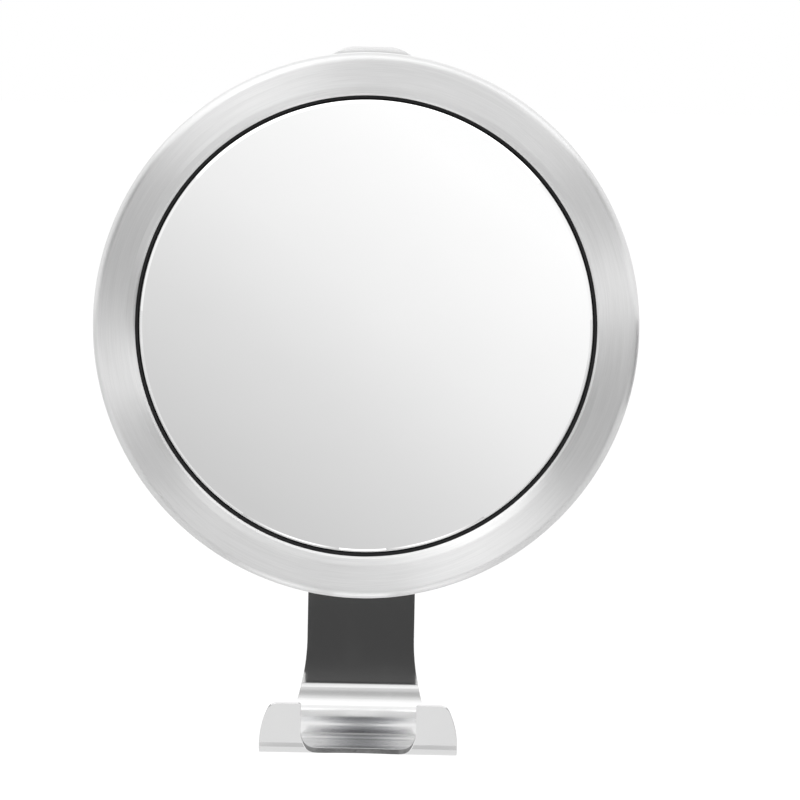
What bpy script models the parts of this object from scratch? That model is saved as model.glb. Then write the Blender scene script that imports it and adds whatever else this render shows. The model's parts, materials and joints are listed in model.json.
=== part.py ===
"""Wall-mounted shower mirror with a razor hook, in metres.

+Z is up, -Y looks out of the wall at the user, and +X is the user's right.
The origin is on the wall, behind the middle of the mirror.
In every profile "forward" is the distance out from the wall, so forward = -Y.
"""

from math import asin, atan2, cos, degrees, hypot, pi, radians, sin, sqrt

import bmesh
import bpy
from mathutils import Matrix

# Fits
GAP = 0.0003
OVERRUN = 0.001

# Adhesive pad between the wall and the strap
PAD_THICKNESS = 0.001
PAD_INSET = 0.0015
PAD_LIFT = 0.0116
PAD_CORNER = 0.009

# Strap: a flat sheet that curls into the hook at the bottom
STRAP_WIDTH = 0.030
STRAP_SHEET = 0.0015
STRAP_PROUD = 0.001
STRAP_CORNER = 0.0105
FLARE_RADIUS = 0.062
CURL_DROP = 0.0266
CURL_RADIUS = 0.015
FLOOR_LENGTH = 0.0115
LIP_RADIUS = 0.003
LIP_RISE = 0.0107
LIP_LEAN_DEG = 8
HOOK_WIDTH = 0.0546
HIP_RADIUS = 0.006
HIP_SETBACK = 0.0082
SWEEP_RADIUS = 0.024
SHOULDER_RADIUS = 0.003
NOTCH_WIDTH = 0.0317
NOTCH_SETBACK = 0.0004
NOTCH_CORNER = 0.0065
NOTCH_CROWN = 0.060
NOTCH_TIP_RADIUS = 0.0008
SHARPEST_ROW = 0.00012

# Ball stud, its washer and its screw
WASHER_THICKNESS = 0.0006
WASHER_TIP_RADIUS = 0.005
WASHER_ROOT_RADIUS = 0.0042
WASHER_TEETH = 12
FLANGE_RADIUS = 0.0055
FLANGE_THICKNESS = 0.0016
FLANGE_FLAT_DEPTH = 0.00075
NECK_RADIUS = 0.003
NECK_REACH = 0.0084
BALL_RADIUS = 0.005
STUD_BORE_DEPTH = 0.007
STUD_SCREW_SHANK = 0.0015
STUD_SCREW_HEAD = 0.0027
STUD_SCREW_SUNK = 0.0001
STUD_SCREW_END_GAP = 0.0006

# Socket around the ball
LINER_WALL = 0.001
LINER_MOUTH_DEG = 49
LINER_RIM_DEG = 84
NUT_MOUTH_DEG = 45
NUT_SEAT_DEG = 75
NUT_LIP = 0.00173
NUT_MOUTH_RADIUS = 0.0056
NUT_WALL = 0.0017
NUT_CHAMFER = 0.0008
NUT_SLOT_WIDTH = 0.0018
NUT_SLOT_DEPTH = 0.0012
NUT_SLOT_LENGTH = 0.0025
NUT_SLOTS = 6
BARREL_WALL = 0.0014
SEAT_SETBACK = 0.0012
SEAT_WALL = 0.0012
WAVE_CLEARANCE = 0.0008
WAVE_WIDTH = 0.0028
WAVE_SHEET = 0.0004
WAVE_SWING = 0.0003
WAVE_COUNT = 3
CUP_FLANGE_WIDTH = 0.0062
CUP_FLANGE_THICKNESS = 0.0016
CUP_FLOOR = 0.0012

# Bezel ring: one pressed sheet with a hem at the back
RING_RADIUS = 0.075
RING_SHEET = 0.001
RING_EDGE_RADIUS = 0.0021
HEM_RADIUS = 0.0014
HEM_WIDTH = 0.0024
BAND_WIDTH = 0.0092
BEVEL_WIDTH = 0.0018
BEVEL_DROP = 0.0012
LIP_STEP = 0.0006
LIP_ROUND = 0.0005
LIP_LENGTH = 0.0022

# Mirror, its gasket and its foam
GLASS_CLEARANCE = 0.0012
GLASS_THICKNESS = 0.003
GLASS_RECESS = 0.0017
GLASS_BEVEL = 0.0006
GASKET_WIDTH = 0.0044
GASKET_SKIRT = 0.0017
GASKET_FLANGE = 0.001
FOAM_INSET = 0.0025
FOAM_THICKNESS = 0.0012
FOAM_HOLE = 0.0125

# Tray that carries the mirror
TRAY_WALL = 0.0018
TRAY_HOLE_CLEARANCE = 0.001
TRAY_BOSS_RADIUS = 0.0032
TRAY_BOSS_HEIGHT = 0.0014
TRAY_PILOT_SKIN = 0.0007

# Rear cover, its seal and its screws
COVER_HUB_THICKNESS = 0.0027
COVER_HUB_MARGIN = 0.0018
COVER_HUB_LEAD = 0.0006
COVER_DISH = 0.0053
COVER_DOME_RISE = 0.0012
COVER_RIM_THICKNESS = 0.0021
COVER_RIM_LAND = 0.0035
COVER_BOSS_WALL = 0.0013
COVER_BOSS_FLOOR = 0.0019
SEAL_INSET = 0.003
SEAL_WIDTH = 0.0018
SEAL_THICKNESS = 0.001
COVER_SCREWS = 4
COVER_SCREW_CIRCLE = 0.040
COVER_SCREW_FIRST_DEG = 45
COVER_SCREW_SHANK = 0.00125
COVER_SCREW_HEAD = 0.0026
COVER_SCREW_HEAD_HEIGHT = 0.0015
HUB_SCREWS = 3
HUB_SCREW_OFFSET = 0.0033
HUB_SCREW_FIRST_DEG = 90
HUB_SCREW_SHANK = 0.001
HUB_SCREW_HEAD = 0.002
HUB_SCREW_HEAD_HEIGHT = 0.0012
HUB_SCREW_BITE = 0.0017
CROSS_WIDTH = 0.0005
CROSS_DEPTH = 0.0006
CROSS_REACH_SHARE = 0.62
HEAD_CROWN_SHARE = 0.35
POINT_SHARE = 0.33

# Facets
RING_SEGMENTS = 80
COVER_SEGMENTS = 48
SOCKET_SEGMENTS = 18
SCREW_SEGMENTS = 12

# Forward places from the wall to the ball
STRAP_REAR = PAD_THICKNESS + GAP
STRAP_FACE = STRAP_REAR + STRAP_SHEET
WASHER_REAR = STRAP_FACE + GAP
FLANGE_REAR = WASHER_REAR + WASHER_THICKNESS + GAP
FLANGE_FACE = FLANGE_REAR + FLANGE_THICKNESS
PIVOT = FLANGE_FACE + NECK_REACH

# Forward places of the head, from its back to its front
COVER_HUB_REAR = PIVOT + COVER_HUB_LEAD
HUB_FACE = COVER_HUB_REAR + COVER_HUB_THICKNESS
COVER_RIM_REAR = COVER_HUB_REAR + COVER_DISH
COVER_RIM_FACE = COVER_RIM_REAR + COVER_RIM_THICKNESS
RING_REAR = COVER_RIM_REAR - GAP - RING_SHEET
TRAY_REAR = COVER_RIM_FACE + GAP
TRAY_FACE = TRAY_REAR + TRAY_WALL
FOAM_REAR = TRAY_FACE + GAP
GLASS_REAR = FOAM_REAR + FOAM_THICKNESS + GAP
GLASS_FACE = GLASS_REAR + GLASS_THICKNESS
RING_FACE = GLASS_FACE + GLASS_RECESS
COVER_BOSS_FACE = TRAY_REAR - TRAY_BOSS_HEIGHT - GAP
COUNTERBORE_FLOOR = COVER_BOSS_FACE - COVER_BOSS_FLOOR

# Spheres around the pivot, and what fits round them
LINER_BORE = BALL_RADIUS + GAP
LINER_OUTER = LINER_BORE + LINER_WALL
SOCKET_BORE = LINER_OUTER + GAP
BARREL_RADIUS = SOCKET_BORE + BARREL_WALL
NUT_BORE = BARREL_RADIUS + GAP
NUT_RADIUS = NUT_BORE + NUT_WALL
NUT_REAR = PIVOT - SOCKET_BORE * cos(radians(NUT_MOUTH_DEG)) - NUT_LIP
SEAT_FACE = PIVOT + LINER_BORE + SEAT_WALL
CUP_FLOOR_REAR = SEAT_FACE + 2 * GAP + WAVE_SHEET + 2 * WAVE_SWING
CUP_FACE = CUP_FLOOR_REAR + CUP_FLOOR
CUP_FLANGE_RADIUS = BARREL_RADIUS + CUP_FLANGE_WIDTH
BARREL_REAR = PIVOT - SOCKET_BORE * cos(radians(NUT_SEAT_DEG)) + GAP
HUB_SCREW_CIRCLE = BARREL_RADIUS + HUB_SCREW_OFFSET

# Radii of the head, from its rim inwards
BODY_RADIUS = RING_RADIUS - RING_SHEET - GAP
SEAL_RADIUS = BODY_RADIUS - SEAL_INSET
GROOVE_INNER = SEAL_RADIUS - SEAL_WIDTH / 2 - GAP
COVER_SHOULDER = GROOVE_INNER - COVER_RIM_LAND
COVER_HUB_RADIUS = CUP_FLANGE_RADIUS + COVER_HUB_MARGIN
BAND_INNER = RING_RADIUS - BAND_WIDTH
BEVEL_INNER = BAND_INNER - BEVEL_WIDTH
LIP_INNER = BEVEL_INNER - LIP_STEP
GLASS_RADIUS = LIP_INNER - GLASS_CLEARANCE
FOAM_RADIUS = GLASS_RADIUS - FOAM_INSET

# Heights of the strap, up and down from the middle of the ring
STRAP_TOP = RING_RADIUS + STRAP_PROUD
CURL_START = RING_RADIUS + CURL_DROP
PAD_BOTTOM = CURL_START - PAD_LIFT


def clear_scene():
    for obj in list(bpy.data.objects):
        bpy.data.objects.remove(obj, do_unlink=True)


def material(name, colour, roughness, metallic):
    made = bpy.data.materials.new(name)
    made.use_nodes = True
    shader = made.node_tree.nodes["Principled BSDF"]
    shader.inputs["Base Color"].default_value = (*colour, 1.0)
    shader.inputs["Roughness"].default_value = roughness
    shader.inputs["Metallic"].default_value = metallic
    return made


def object_from(bm, name, finish, parent, smooth_deg=35):
    """A named object with its mesh, its finish and its parent."""
    bmesh.ops.recalc_face_normals(bm, faces=bm.faces)
    mesh = bpy.data.meshes.new(name)
    bm.to_mesh(mesh)
    bm.free()
    mesh.materials.append(finish)
    mesh.shade_smooth()
    mesh.set_sharp_from_angle(angle=radians(smooth_deg))
    obj = bpy.data.objects.new(name, mesh)
    bpy.context.scene.collection.objects.link(obj)
    obj.parent = parent
    return obj


def place(obj, x, forward, z):
    """Puts an object at a point of the wall's frame, whatever it is parented to."""
    base = obj.parent.location if obj.parent else (0, 0, 0)
    obj.location = (x - base[0], -forward - base[1], z - base[2])
    return obj


def arc(centre, radius, start_deg, end_deg, steps):
    """Points of an arc as (radius from the axis, forward); 0 degrees points outwards, 90 forward."""
    points = []
    for step in range(steps + 1):
        angle = radians(start_deg + (end_deg - start_deg) * step / steps)
        points.append((centre[0] + radius * cos(angle), centre[1] + radius * sin(angle)))
    return points


def sphere_zone(radius, start_deg, end_deg, steps):
    """Points on a sphere around the pivot; the angle is counted from the rear pole."""
    return arc((0, PIVOT), radius, start_deg - 90, end_deg - 90, steps)


def turned_mesh(profile, base, segments):
    """A closed profile of (radius, forward) turned once round the forward axis, base at the origin."""
    bm = bmesh.new()
    rim = [bm.verts.new((radius, base - forward, 0)) for radius, forward in profile]
    edges = [bm.edges.new((rim[i - 1], rim[i])) for i in range(len(rim))]
    bmesh.ops.spin(
        bm, geom=rim + edges, cent=(0, 0, 0), axis=(0, 1, 0),
        angle=2 * pi, steps=segments, use_merge=True,
    )
    bmesh.ops.remove_doubles(bm, verts=bm.verts, dist=GAP / 100)
    on_axis = [edge for edge in bm.edges if not edge.link_faces]
    bmesh.ops.delete(bm, geom=on_axis, context="EDGES")
    return bm


def turned(name, profile, base, segments, finish, parent):
    """A turned piece whose own origin is on the axis at the forward distance base."""
    obj = object_from(turned_mesh(profile, base, segments), name, finish, parent)
    return place(obj, 0, base, 0)


def cutter(name, bm, x, forward, z):
    """A shape that only cuts or joins; it isn't a piece."""
    bmesh.ops.recalc_face_normals(bm, faces=bm.faces)
    mesh = bpy.data.meshes.new(name)
    bm.to_mesh(mesh)
    bm.free()
    obj = bpy.data.objects.new(name, mesh)
    bpy.context.scene.collection.objects.link(obj)
    obj.location = (x, -forward, z)
    obj.hide_render = True
    obj.display_type = "WIRE"
    return obj


def rod_mesh(radius, rear, face, segments=SCREW_SEGMENTS):
    """A plain rod along the forward axis, its rear end at the origin."""
    profile = [(0, rear), (radius, rear), (radius, face), (0, face)]
    return turned_mesh(profile, rear, segments)


def bore_mesh(radius, rear, face):
    """A rod turned by half a facet, so that no corner of it meets a corner of what it drills."""
    bm = rod_mesh(radius, rear, face)
    turn = Matrix.Rotation(pi / SCREW_SEGMENTS, 3, "Y")
    bmesh.ops.rotate(bm, cent=(0, 0, 0), matrix=turn, verts=bm.verts)
    return bm


def boolean(obj, other, operation):
    modifier = obj.modifiers.new(other.name, "BOOLEAN")
    modifier.operation = operation
    modifier.object = other


def on_circle(radius, first_deg, count):
    """The places of a screw pattern round the forward axis."""
    for index in range(count):
        angle = radians(first_deg) + 2 * pi * index / count
        yield index + 1, radius * cos(angle), radius * sin(angle)


def sheet_profile(path, thickness):
    """A closed profile: the path and its copy, offset to the path's left by the thickness."""
    normals = []
    for (r0, f0), (r1, f1) in zip(path, path[1:]):
        length = hypot(r1 - r0, f1 - f0)
        normals.append((-(f1 - f0) / length, (r1 - r0) / length))
    inner = []
    for index, (radius, forward) in enumerate(path):
        before = normals[max(index - 1, 0)]
        after = normals[min(index, len(normals) - 1)]
        mitre = thickness / (1 + before[0] * after[0] + before[1] * after[1])
        inner.append((
            radius + (before[0] + after[0]) * mitre,
            forward + (before[1] + after[1]) * mitre,
        ))
    return list(path) + inner[::-1]


# Strap and hook

LENGTH_FLAT = STRAP_TOP + CURL_START
LENGTH_CURL = LENGTH_FLAT + CURL_RADIUS * pi / 2
LENGTH_FLOOR = LENGTH_CURL + FLOOR_LENGTH
LIP_BEND = radians(90 - LIP_LEAN_DEG)
LENGTH_BEND = LENGTH_FLOOR + LIP_RADIUS * LIP_BEND
LENGTH_TIP = LENGTH_BEND + LIP_RISE
LENGTH_HIP = LENGTH_FLOOR - HIP_SETBACK
LENGTH_NOTCH = LENGTH_FLOOR - NOTCH_SETBACK


def flare():
    """Where the strap starts to flare, and where its flare turns into the hip's round corner."""
    across = STRAP_WIDTH / 2 + FLARE_RADIUS - HOOK_WIDTH / 2 + HIP_RADIUS
    reach = FLARE_RADIUS + HIP_RADIUS
    start = LENGTH_HIP - sqrt(reach ** 2 - across ** 2)
    end = start + (LENGTH_HIP - start) * FLARE_RADIUS / reach
    return start, end


def shoulder():
    """The wing's outer corner: the round's centre across and along, and where it starts."""
    along = LENGTH_TIP - SHOULDER_RADIUS
    reach = SWEEP_RADIUS - SHOULDER_RADIUS
    across = HOOK_WIDTH / 2 - SWEEP_RADIUS + sqrt(reach ** 2 - (along - LENGTH_FLOOR - LIP_RADIUS) ** 2)
    start = LENGTH_FLOOR + LIP_RADIUS + (along - LENGTH_FLOOR - LIP_RADIUS) * SWEEP_RADIUS / reach
    return across, along, start


def notch_corner():
    """The notch's rounded corner: its centre across and along, and where the crown meets it."""
    across = NOTCH_WIDTH / 2 - NOTCH_CORNER
    reach = NOTCH_CROWN - NOTCH_CORNER
    along = LENGTH_NOTCH + NOTCH_CROWN - sqrt(reach ** 2 - across ** 2)
    meet = across * NOTCH_CROWN / reach
    return across, along, meet


def half_width(length):
    """Half of the blank's width at a length down from the strap's top end."""
    half, hook = STRAP_WIDTH / 2, HOOK_WIDTH / 2
    flare_start, flare_end = flare()
    sweep_start = LENGTH_FLOOR + LIP_RADIUS
    round_across, round_along, round_start = shoulder()
    if length < STRAP_CORNER:
        return half - STRAP_CORNER + sqrt(STRAP_CORNER ** 2 - (STRAP_CORNER - length) ** 2)
    if length < flare_start:
        return half
    if length < flare_end:
        return half + FLARE_RADIUS - sqrt(FLARE_RADIUS ** 2 - (length - flare_start) ** 2)
    if length < LENGTH_HIP:
        return hook - HIP_RADIUS + sqrt(HIP_RADIUS ** 2 - (LENGTH_HIP - length) ** 2)
    if length < sweep_start:
        return hook
    if length < round_start:
        return hook - SWEEP_RADIUS + sqrt(SWEEP_RADIUS ** 2 - (length - sweep_start) ** 2)
    return round_across + sqrt(max(SHOULDER_RADIUS ** 2 - (length - round_along) ** 2, 0))


def half_notch(length):
    """Half of the notch's width at a length down the blank, 0 above the notch."""
    half = NOTCH_WIDTH / 2
    across, along, meet = notch_corner()
    crown_end = LENGTH_NOTCH + NOTCH_CROWN - sqrt(NOTCH_CROWN ** 2 - meet ** 2)
    tip_start = LENGTH_TIP - NOTCH_TIP_RADIUS
    if length <= LENGTH_NOTCH:
        return 0
    if length < crown_end:
        return sqrt(NOTCH_CROWN ** 2 - (LENGTH_NOTCH + NOTCH_CROWN - length) ** 2)
    if length < along:
        return across + sqrt(NOTCH_CORNER ** 2 - (along - length) ** 2)
    if length < tip_start:
        return half
    return half + NOTCH_TIP_RADIUS - sqrt(max(NOTCH_TIP_RADIUS ** 2 - (length - tip_start) ** 2, 0))


def spread(start, end, steps):
    return [start + (end - start) * step / steps for step in range(steps + 1)]


def rounded(start, radius, steps, closing):
    """Lengths along a round corner, evenly spaced in angle; closing corners bunch up at their end."""
    angles = spread(0, pi / 2, steps)
    if closing:
        return [start + radius * sin(angle) for angle in angles]
    return [start + radius * (1 - cos(angle)) for angle in angles]


def blank_rows():
    """The lengths at which the blank has a row of points."""
    flare_start, flare_end = flare()
    _, round_along, round_start = shoulder()
    _, notch_along, meet = notch_corner()
    fixed = [0, LENGTH_FLAT, LENGTH_CURL, LENGTH_FLOOR, LENGTH_NOTCH, LENGTH_BEND, LENGTH_TIP]
    free = rounded(0, STRAP_CORNER, 8, closing=False)
    free += spread(flare_start, flare_end, 8) + spread(flare_end, LENGTH_HIP, 4)
    free += spread(LENGTH_FLAT, LENGTH_CURL, 12) + spread(LENGTH_FLOOR, LENGTH_BEND, 8)
    free += spread(LENGTH_FLOOR + LIP_RADIUS, round_start, 4)
    free += rounded(round_along, SHOULDER_RADIUS, 6, closing=True)
    free += [LENGTH_NOTCH + NOTCH_CROWN - sqrt(NOTCH_CROWN ** 2 - across ** 2) for across in spread(0, meet, 4)]
    free += rounded(notch_along - NOTCH_CORNER, NOTCH_CORNER, 8, closing=False)
    free += rounded(LENGTH_TIP - NOTCH_TIP_RADIUS, NOTCH_TIP_RADIUS, 4, closing=True)
    rows = list(fixed)
    for length in free:
        if 0 < length < LENGTH_TIP and min(abs(length - row) for row in rows) > SHARPEST_ROW:
            rows.append(length)
    return sorted(rows)


def bent(length, depth):
    """(forward, z) of a point of the bent sheet; depth is counted in from the hook's inner face."""
    curl = CURL_RADIUS + depth
    bend = LIP_RADIUS + depth
    floor_z = -CURL_START - CURL_RADIUS
    floor_start = STRAP_FACE + CURL_RADIUS
    if length <= LENGTH_FLAT:
        return STRAP_FACE - depth, STRAP_TOP - length
    if length <= LENGTH_CURL:
        angle = (length - LENGTH_FLAT) / CURL_RADIUS
        return floor_start - curl * cos(angle), -CURL_START - curl * sin(angle)
    if length <= LENGTH_FLOOR:
        return floor_start + length - LENGTH_CURL, floor_z - depth
    angle = min((length - LENGTH_FLOOR) / LIP_RADIUS, LIP_BEND)
    rise = max(length - LENGTH_BEND, 0)
    forward = floor_start + FLOOR_LENGTH + bend * sin(angle) + rise * cos(LIP_BEND)
    return forward, floor_z + LIP_RADIUS - bend * cos(angle) + rise * sin(LIP_BEND)


def blank_mesh():
    """The flat blank as one layer of faces: x across, y down its length."""
    bm = bmesh.new()
    before = None
    for length in blank_rows():
        wide, inner = half_width(length), half_notch(length)
        left = [bm.verts.new((-wide, length, 0))]
        right = [bm.verts.new((wide, length, 0))]
        if inner:
            left.append(bm.verts.new((-inner, length, 0)))
            right.append(bm.verts.new((inner, length, 0)))
        else:
            middle = bm.verts.new((0, length, 0))
            left.append(middle)
            right.append(middle)
        if before:
            for side, last in zip((left, right), before):
                bm.faces.new((last[0], side[0], side[1], last[1]))
        before = (left, right)
    return bm


def hook_strap(finish):
    bm = blank_mesh()
    grown = bmesh.ops.extrude_face_region(bm, geom=list(bm.faces))
    back = [item for item in grown["geom"] if isinstance(item, bmesh.types.BMVert)]
    bmesh.ops.translate(bm, verts=back, vec=(0, 0, STRAP_SHEET))
    for vert in bm.verts:
        forward, z = bent(vert.co.y, vert.co.z)
        vert.co = (vert.co.x, -forward, z)
    obj = object_from(bm, "hook_strap", finish, None)
    sunk = STUD_SCREW_HEAD + GAP + STUD_SCREW_SUNK
    bore = STUD_SCREW_SHANK + GAP
    profile = [
        (0, STRAP_REAR - OVERRUN), (sunk + OVERRUN, STRAP_REAR - OVERRUN),
        (bore, STRAP_REAR + sunk - bore), (bore, STRAP_FACE + OVERRUN), (0, STRAP_FACE + OVERRUN),
    ]
    hole = turned_mesh(profile, STRAP_REAR, SOCKET_SEGMENTS)
    boolean(obj, cutter("strap_hole_cutter", hole, 0, STRAP_REAR, 0), "DIFFERENCE")
    return obj


def adhesive_pad(finish):
    half = STRAP_WIDTH / 2 - PAD_INSET
    top = STRAP_TOP - PAD_INSET
    corners = [
        (half - PAD_CORNER, top - PAD_CORNER, 0), (-half + PAD_CORNER, top - PAD_CORNER, 90),
        (-half + PAD_CORNER, -PAD_BOTTOM + PAD_CORNER, 180), (half - PAD_CORNER, -PAD_BOTTOM + PAD_CORNER, 270),
    ]
    bm = bmesh.new()
    rim = []
    for x, z, start in corners:
        for point_x, point_z in arc((x, z), PAD_CORNER, start, start + 90, 6):
            rim.append(bm.verts.new((point_x, 0, point_z)))
    face = bm.faces.new(rim)
    grown = bmesh.ops.extrude_face_region(bm, geom=[face])
    front = [item for item in grown["geom"] if isinstance(item, bmesh.types.BMVert)]
    bmesh.ops.translate(bm, verts=front, vec=(0, -PAD_THICKNESS, 0))
    return object_from(bm, "adhesive_pad", finish, None)


# Ball stud and its fixings

def lock_washer(finish):
    """A star washer: a flat ring whose rim rises and falls in teeth."""
    points = 4 * WASHER_TEETH
    bore = STUD_SCREW_SHANK + GAP
    bm = bmesh.new()
    inner, outer = [], []
    for index in range(points):
        angle = 2 * pi * index / points
        rim = WASHER_TIP_RADIUS if index % 4 < 2 else WASHER_ROOT_RADIUS
        inner.append(bm.verts.new((bore * cos(angle), 0, bore * sin(angle))))
        outer.append(bm.verts.new((rim * cos(angle), 0, rim * sin(angle))))
    for index in range(points):
        bm.faces.new((inner[index - 1], outer[index - 1], outer[index], inner[index]))
    grown = bmesh.ops.extrude_face_region(bm, geom=list(bm.faces))
    front = [item for item in grown["geom"] if isinstance(item, bmesh.types.BMVert)]
    bmesh.ops.translate(bm, verts=front, vec=(0, -WASHER_THICKNESS, 0))
    return place(object_from(bm, "lock_washer", finish, None), 0, WASHER_REAR, 0)


def ball_stud(finish):
    """Flange, neck and ball in one, with a blind bore for its screw and two spanner flats."""
    bore = STUD_SCREW_SHANK + GAP
    neck_deg = degrees(asin(NECK_RADIUS / BALL_RADIUS))
    profile = [(bore, FLANGE_REAR), (FLANGE_RADIUS, FLANGE_REAR), (FLANGE_RADIUS, FLANGE_FACE)]
    profile += [(NECK_RADIUS, FLANGE_FACE)]
    profile += sphere_zone(BALL_RADIUS, neck_deg, 180, 9)
    profile += [(0, FLANGE_REAR + STUD_BORE_DEPTH), (bore, FLANGE_REAR + STUD_BORE_DEPTH)]
    obj = turned("ball_stud", profile, FLANGE_REAR, SOCKET_SEGMENTS, finish, None)
    for side in (-1, 1):
        bm = bmesh.new()
        bmesh.ops.create_cube(bm, size=1)
        deep = FLANGE_THICKNESS + 2 * OVERRUN
        bmesh.ops.scale(bm, vec=(FLANGE_RADIUS, deep, 2 * FLANGE_RADIUS), verts=bm.verts)
        x = side * (FLANGE_RADIUS - FLANGE_FLAT_DEPTH + FLANGE_RADIUS / 2)
        flat = cutter(f"stud_flat_cutter_{side}", bm, x, FLANGE_REAR + FLANGE_THICKNESS / 2, 0)
        boolean(obj, flat, "DIFFERENCE")
    return obj


def cross_recess(obj, name, x, z, head_rear, head_radius):
    """The driver's cross in a screw head that faces the wall."""
    for index, (wide, high) in enumerate(((1, 0), (0, 1))):
        bm = bmesh.new()
        bmesh.ops.create_cube(bm, size=1)
        reach = 2 * head_radius * CROSS_REACH_SHARE
        size = (reach if wide else CROSS_WIDTH, 2 * CROSS_DEPTH, reach if high else CROSS_WIDTH)
        bmesh.ops.scale(bm, vec=size, verts=bm.verts)
        arm = cutter(f"{name}_cross_cutter_{index}", bm, x, head_rear, z)
        boolean(obj, arm, "DIFFERENCE")


def stud_screw(finish):
    """Countersunk from behind the strap, up the ball stud's bore."""
    head_rear = STRAP_REAR + STUD_SCREW_SUNK
    shank_start = head_rear + STUD_SCREW_HEAD - STUD_SCREW_SHANK
    end = FLANGE_REAR + STUD_BORE_DEPTH - STUD_SCREW_END_GAP
    point = STUD_SCREW_SHANK * POINT_SHARE
    profile = [
        (0, head_rear), (STUD_SCREW_HEAD, head_rear), (STUD_SCREW_SHANK, shank_start),
        (STUD_SCREW_SHANK, end - point), (STUD_SCREW_SHANK - point, end), (0, end),
    ]
    obj = turned("stud_screw", profile, head_rear, SOCKET_SEGMENTS, finish, None)
    cross_recess(obj, "stud_screw", 0, 0, head_rear, STUD_SCREW_HEAD)
    return obj


# Socket

def socket_liner(finish, parent):
    profile = sphere_zone(LINER_BORE, LINER_MOUTH_DEG, LINER_RIM_DEG, 5)
    profile += sphere_zone(LINER_OUTER, LINER_RIM_DEG, LINER_MOUTH_DEG, 5)
    return turned("socket_liner", profile, PIVOT, SOCKET_SEGMENTS, finish, parent)


def pressure_seat(finish, parent):
    """The plug that the wave washer pushes onto the front of the ball."""
    start = degrees(asin(SEAT_SETBACK / LINER_BORE)) + 90
    profile = sphere_zone(LINER_BORE, 180, start, 6)
    profile += [(LINER_OUTER, PIVOT + SEAT_SETBACK), (LINER_OUTER, SEAT_FACE), (0, SEAT_FACE)]
    return turned("pressure_seat", profile, PIVOT, SOCKET_SEGMENTS, finish, parent)


def retaining_nut(finish, parent):
    """The collar behind the cover: it holds the ball in and draws the cup back onto the cover."""
    rear = NUT_REAR
    face = COVER_HUB_REAR - GAP
    seat = sphere_zone(SOCKET_BORE, NUT_MOUTH_DEG, NUT_SEAT_DEG, 4)
    profile = [(NUT_MOUTH_RADIUS, rear)] + seat
    profile += [(NUT_BORE, seat[-1][1]), (NUT_BORE, face), (NUT_RADIUS - NUT_CHAMFER, face)]
    profile += [(NUT_RADIUS, face - NUT_CHAMFER), (NUT_RADIUS, rear + NUT_CHAMFER)]
    profile += [(NUT_RADIUS - NUT_CHAMFER, rear)]
    obj = turned("retaining_nut", profile, PIVOT, SOCKET_SEGMENTS, finish, parent)
    for index, x, z in on_circle(NUT_RADIUS, 0, NUT_SLOTS):
        bm = bmesh.new()
        bmesh.ops.create_cube(bm, size=1)
        size = (2 * NUT_SLOT_DEPTH, 2 * NUT_SLOT_LENGTH, NUT_SLOT_WIDTH)
        bmesh.ops.scale(bm, vec=size, verts=bm.verts)
        turn = Matrix.Rotation(-atan2(z, x), 3, "Y")
        bmesh.ops.rotate(bm, cent=(0, 0, 0), matrix=turn, verts=bm.verts)
        boolean(obj, cutter(f"nut_slot_cutter_{index}", bm, x, rear, z), "DIFFERENCE")
    return obj


def wave_washer(finish, parent):
    """A thin ring that rises and falls three times round."""
    steps = SOCKET_SEGMENTS
    middle = SEAT_FACE + GAP + WAVE_SWING + WAVE_SHEET / 2
    outer_radius = SOCKET_BORE - WAVE_CLEARANCE
    inner_radius = outer_radius - WAVE_WIDTH
    bm = bmesh.new()
    inner, outer = [], []
    for index in range(steps):
        angle = 2 * pi * index / steps
        rise = WAVE_SWING * cos(WAVE_COUNT * angle) - WAVE_SHEET / 2
        inner.append(bm.verts.new((inner_radius * cos(angle), -rise, inner_radius * sin(angle))))
        outer.append(bm.verts.new((outer_radius * cos(angle), -rise, outer_radius * sin(angle))))
    for index in range(steps):
        bm.faces.new((inner[index - 1], outer[index - 1], outer[index], inner[index]))
    grown = bmesh.ops.extrude_face_region(bm, geom=list(bm.faces))
    front = [item for item in grown["geom"] if isinstance(item, bmesh.types.BMVert)]
    bmesh.ops.translate(bm, verts=front, vec=(0, -WAVE_SHEET, 0))
    return place(object_from(bm, "wave_washer", finish, parent), 0, middle, 0)


def socket_cup(finish, parent):
    """Barrel, flange and closed nose; the flange sits on the inside of the cover's hub."""
    flange_rear = HUB_FACE + GAP
    flange_face = flange_rear + CUP_FLANGE_THICKNESS
    profile = [(SOCKET_BORE, BARREL_REAR), (BARREL_RADIUS, BARREL_REAR), (BARREL_RADIUS, flange_rear)]
    profile += [(CUP_FLANGE_RADIUS, flange_rear), (CUP_FLANGE_RADIUS, flange_face)]
    profile += [(BARREL_RADIUS, flange_face), (BARREL_RADIUS, CUP_FACE), (0, CUP_FACE)]
    profile += [(0, CUP_FLOOR_REAR), (SOCKET_BORE, CUP_FLOOR_REAR)]
    obj = turned("socket_cup", profile, PIVOT, SOCKET_SEGMENTS, finish, parent)
    for index, x, z in on_circle(HUB_SCREW_CIRCLE, HUB_SCREW_FIRST_DEG, HUB_SCREWS):
        hole = bore_mesh(HUB_SCREW_SHANK + GAP, flange_rear - OVERRUN, flange_face + OVERRUN)
        boolean(obj, cutter(f"cup_hole_cutter_{index}", hole, x, flange_rear - OVERRUN, z), "DIFFERENCE")
    return obj


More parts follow.
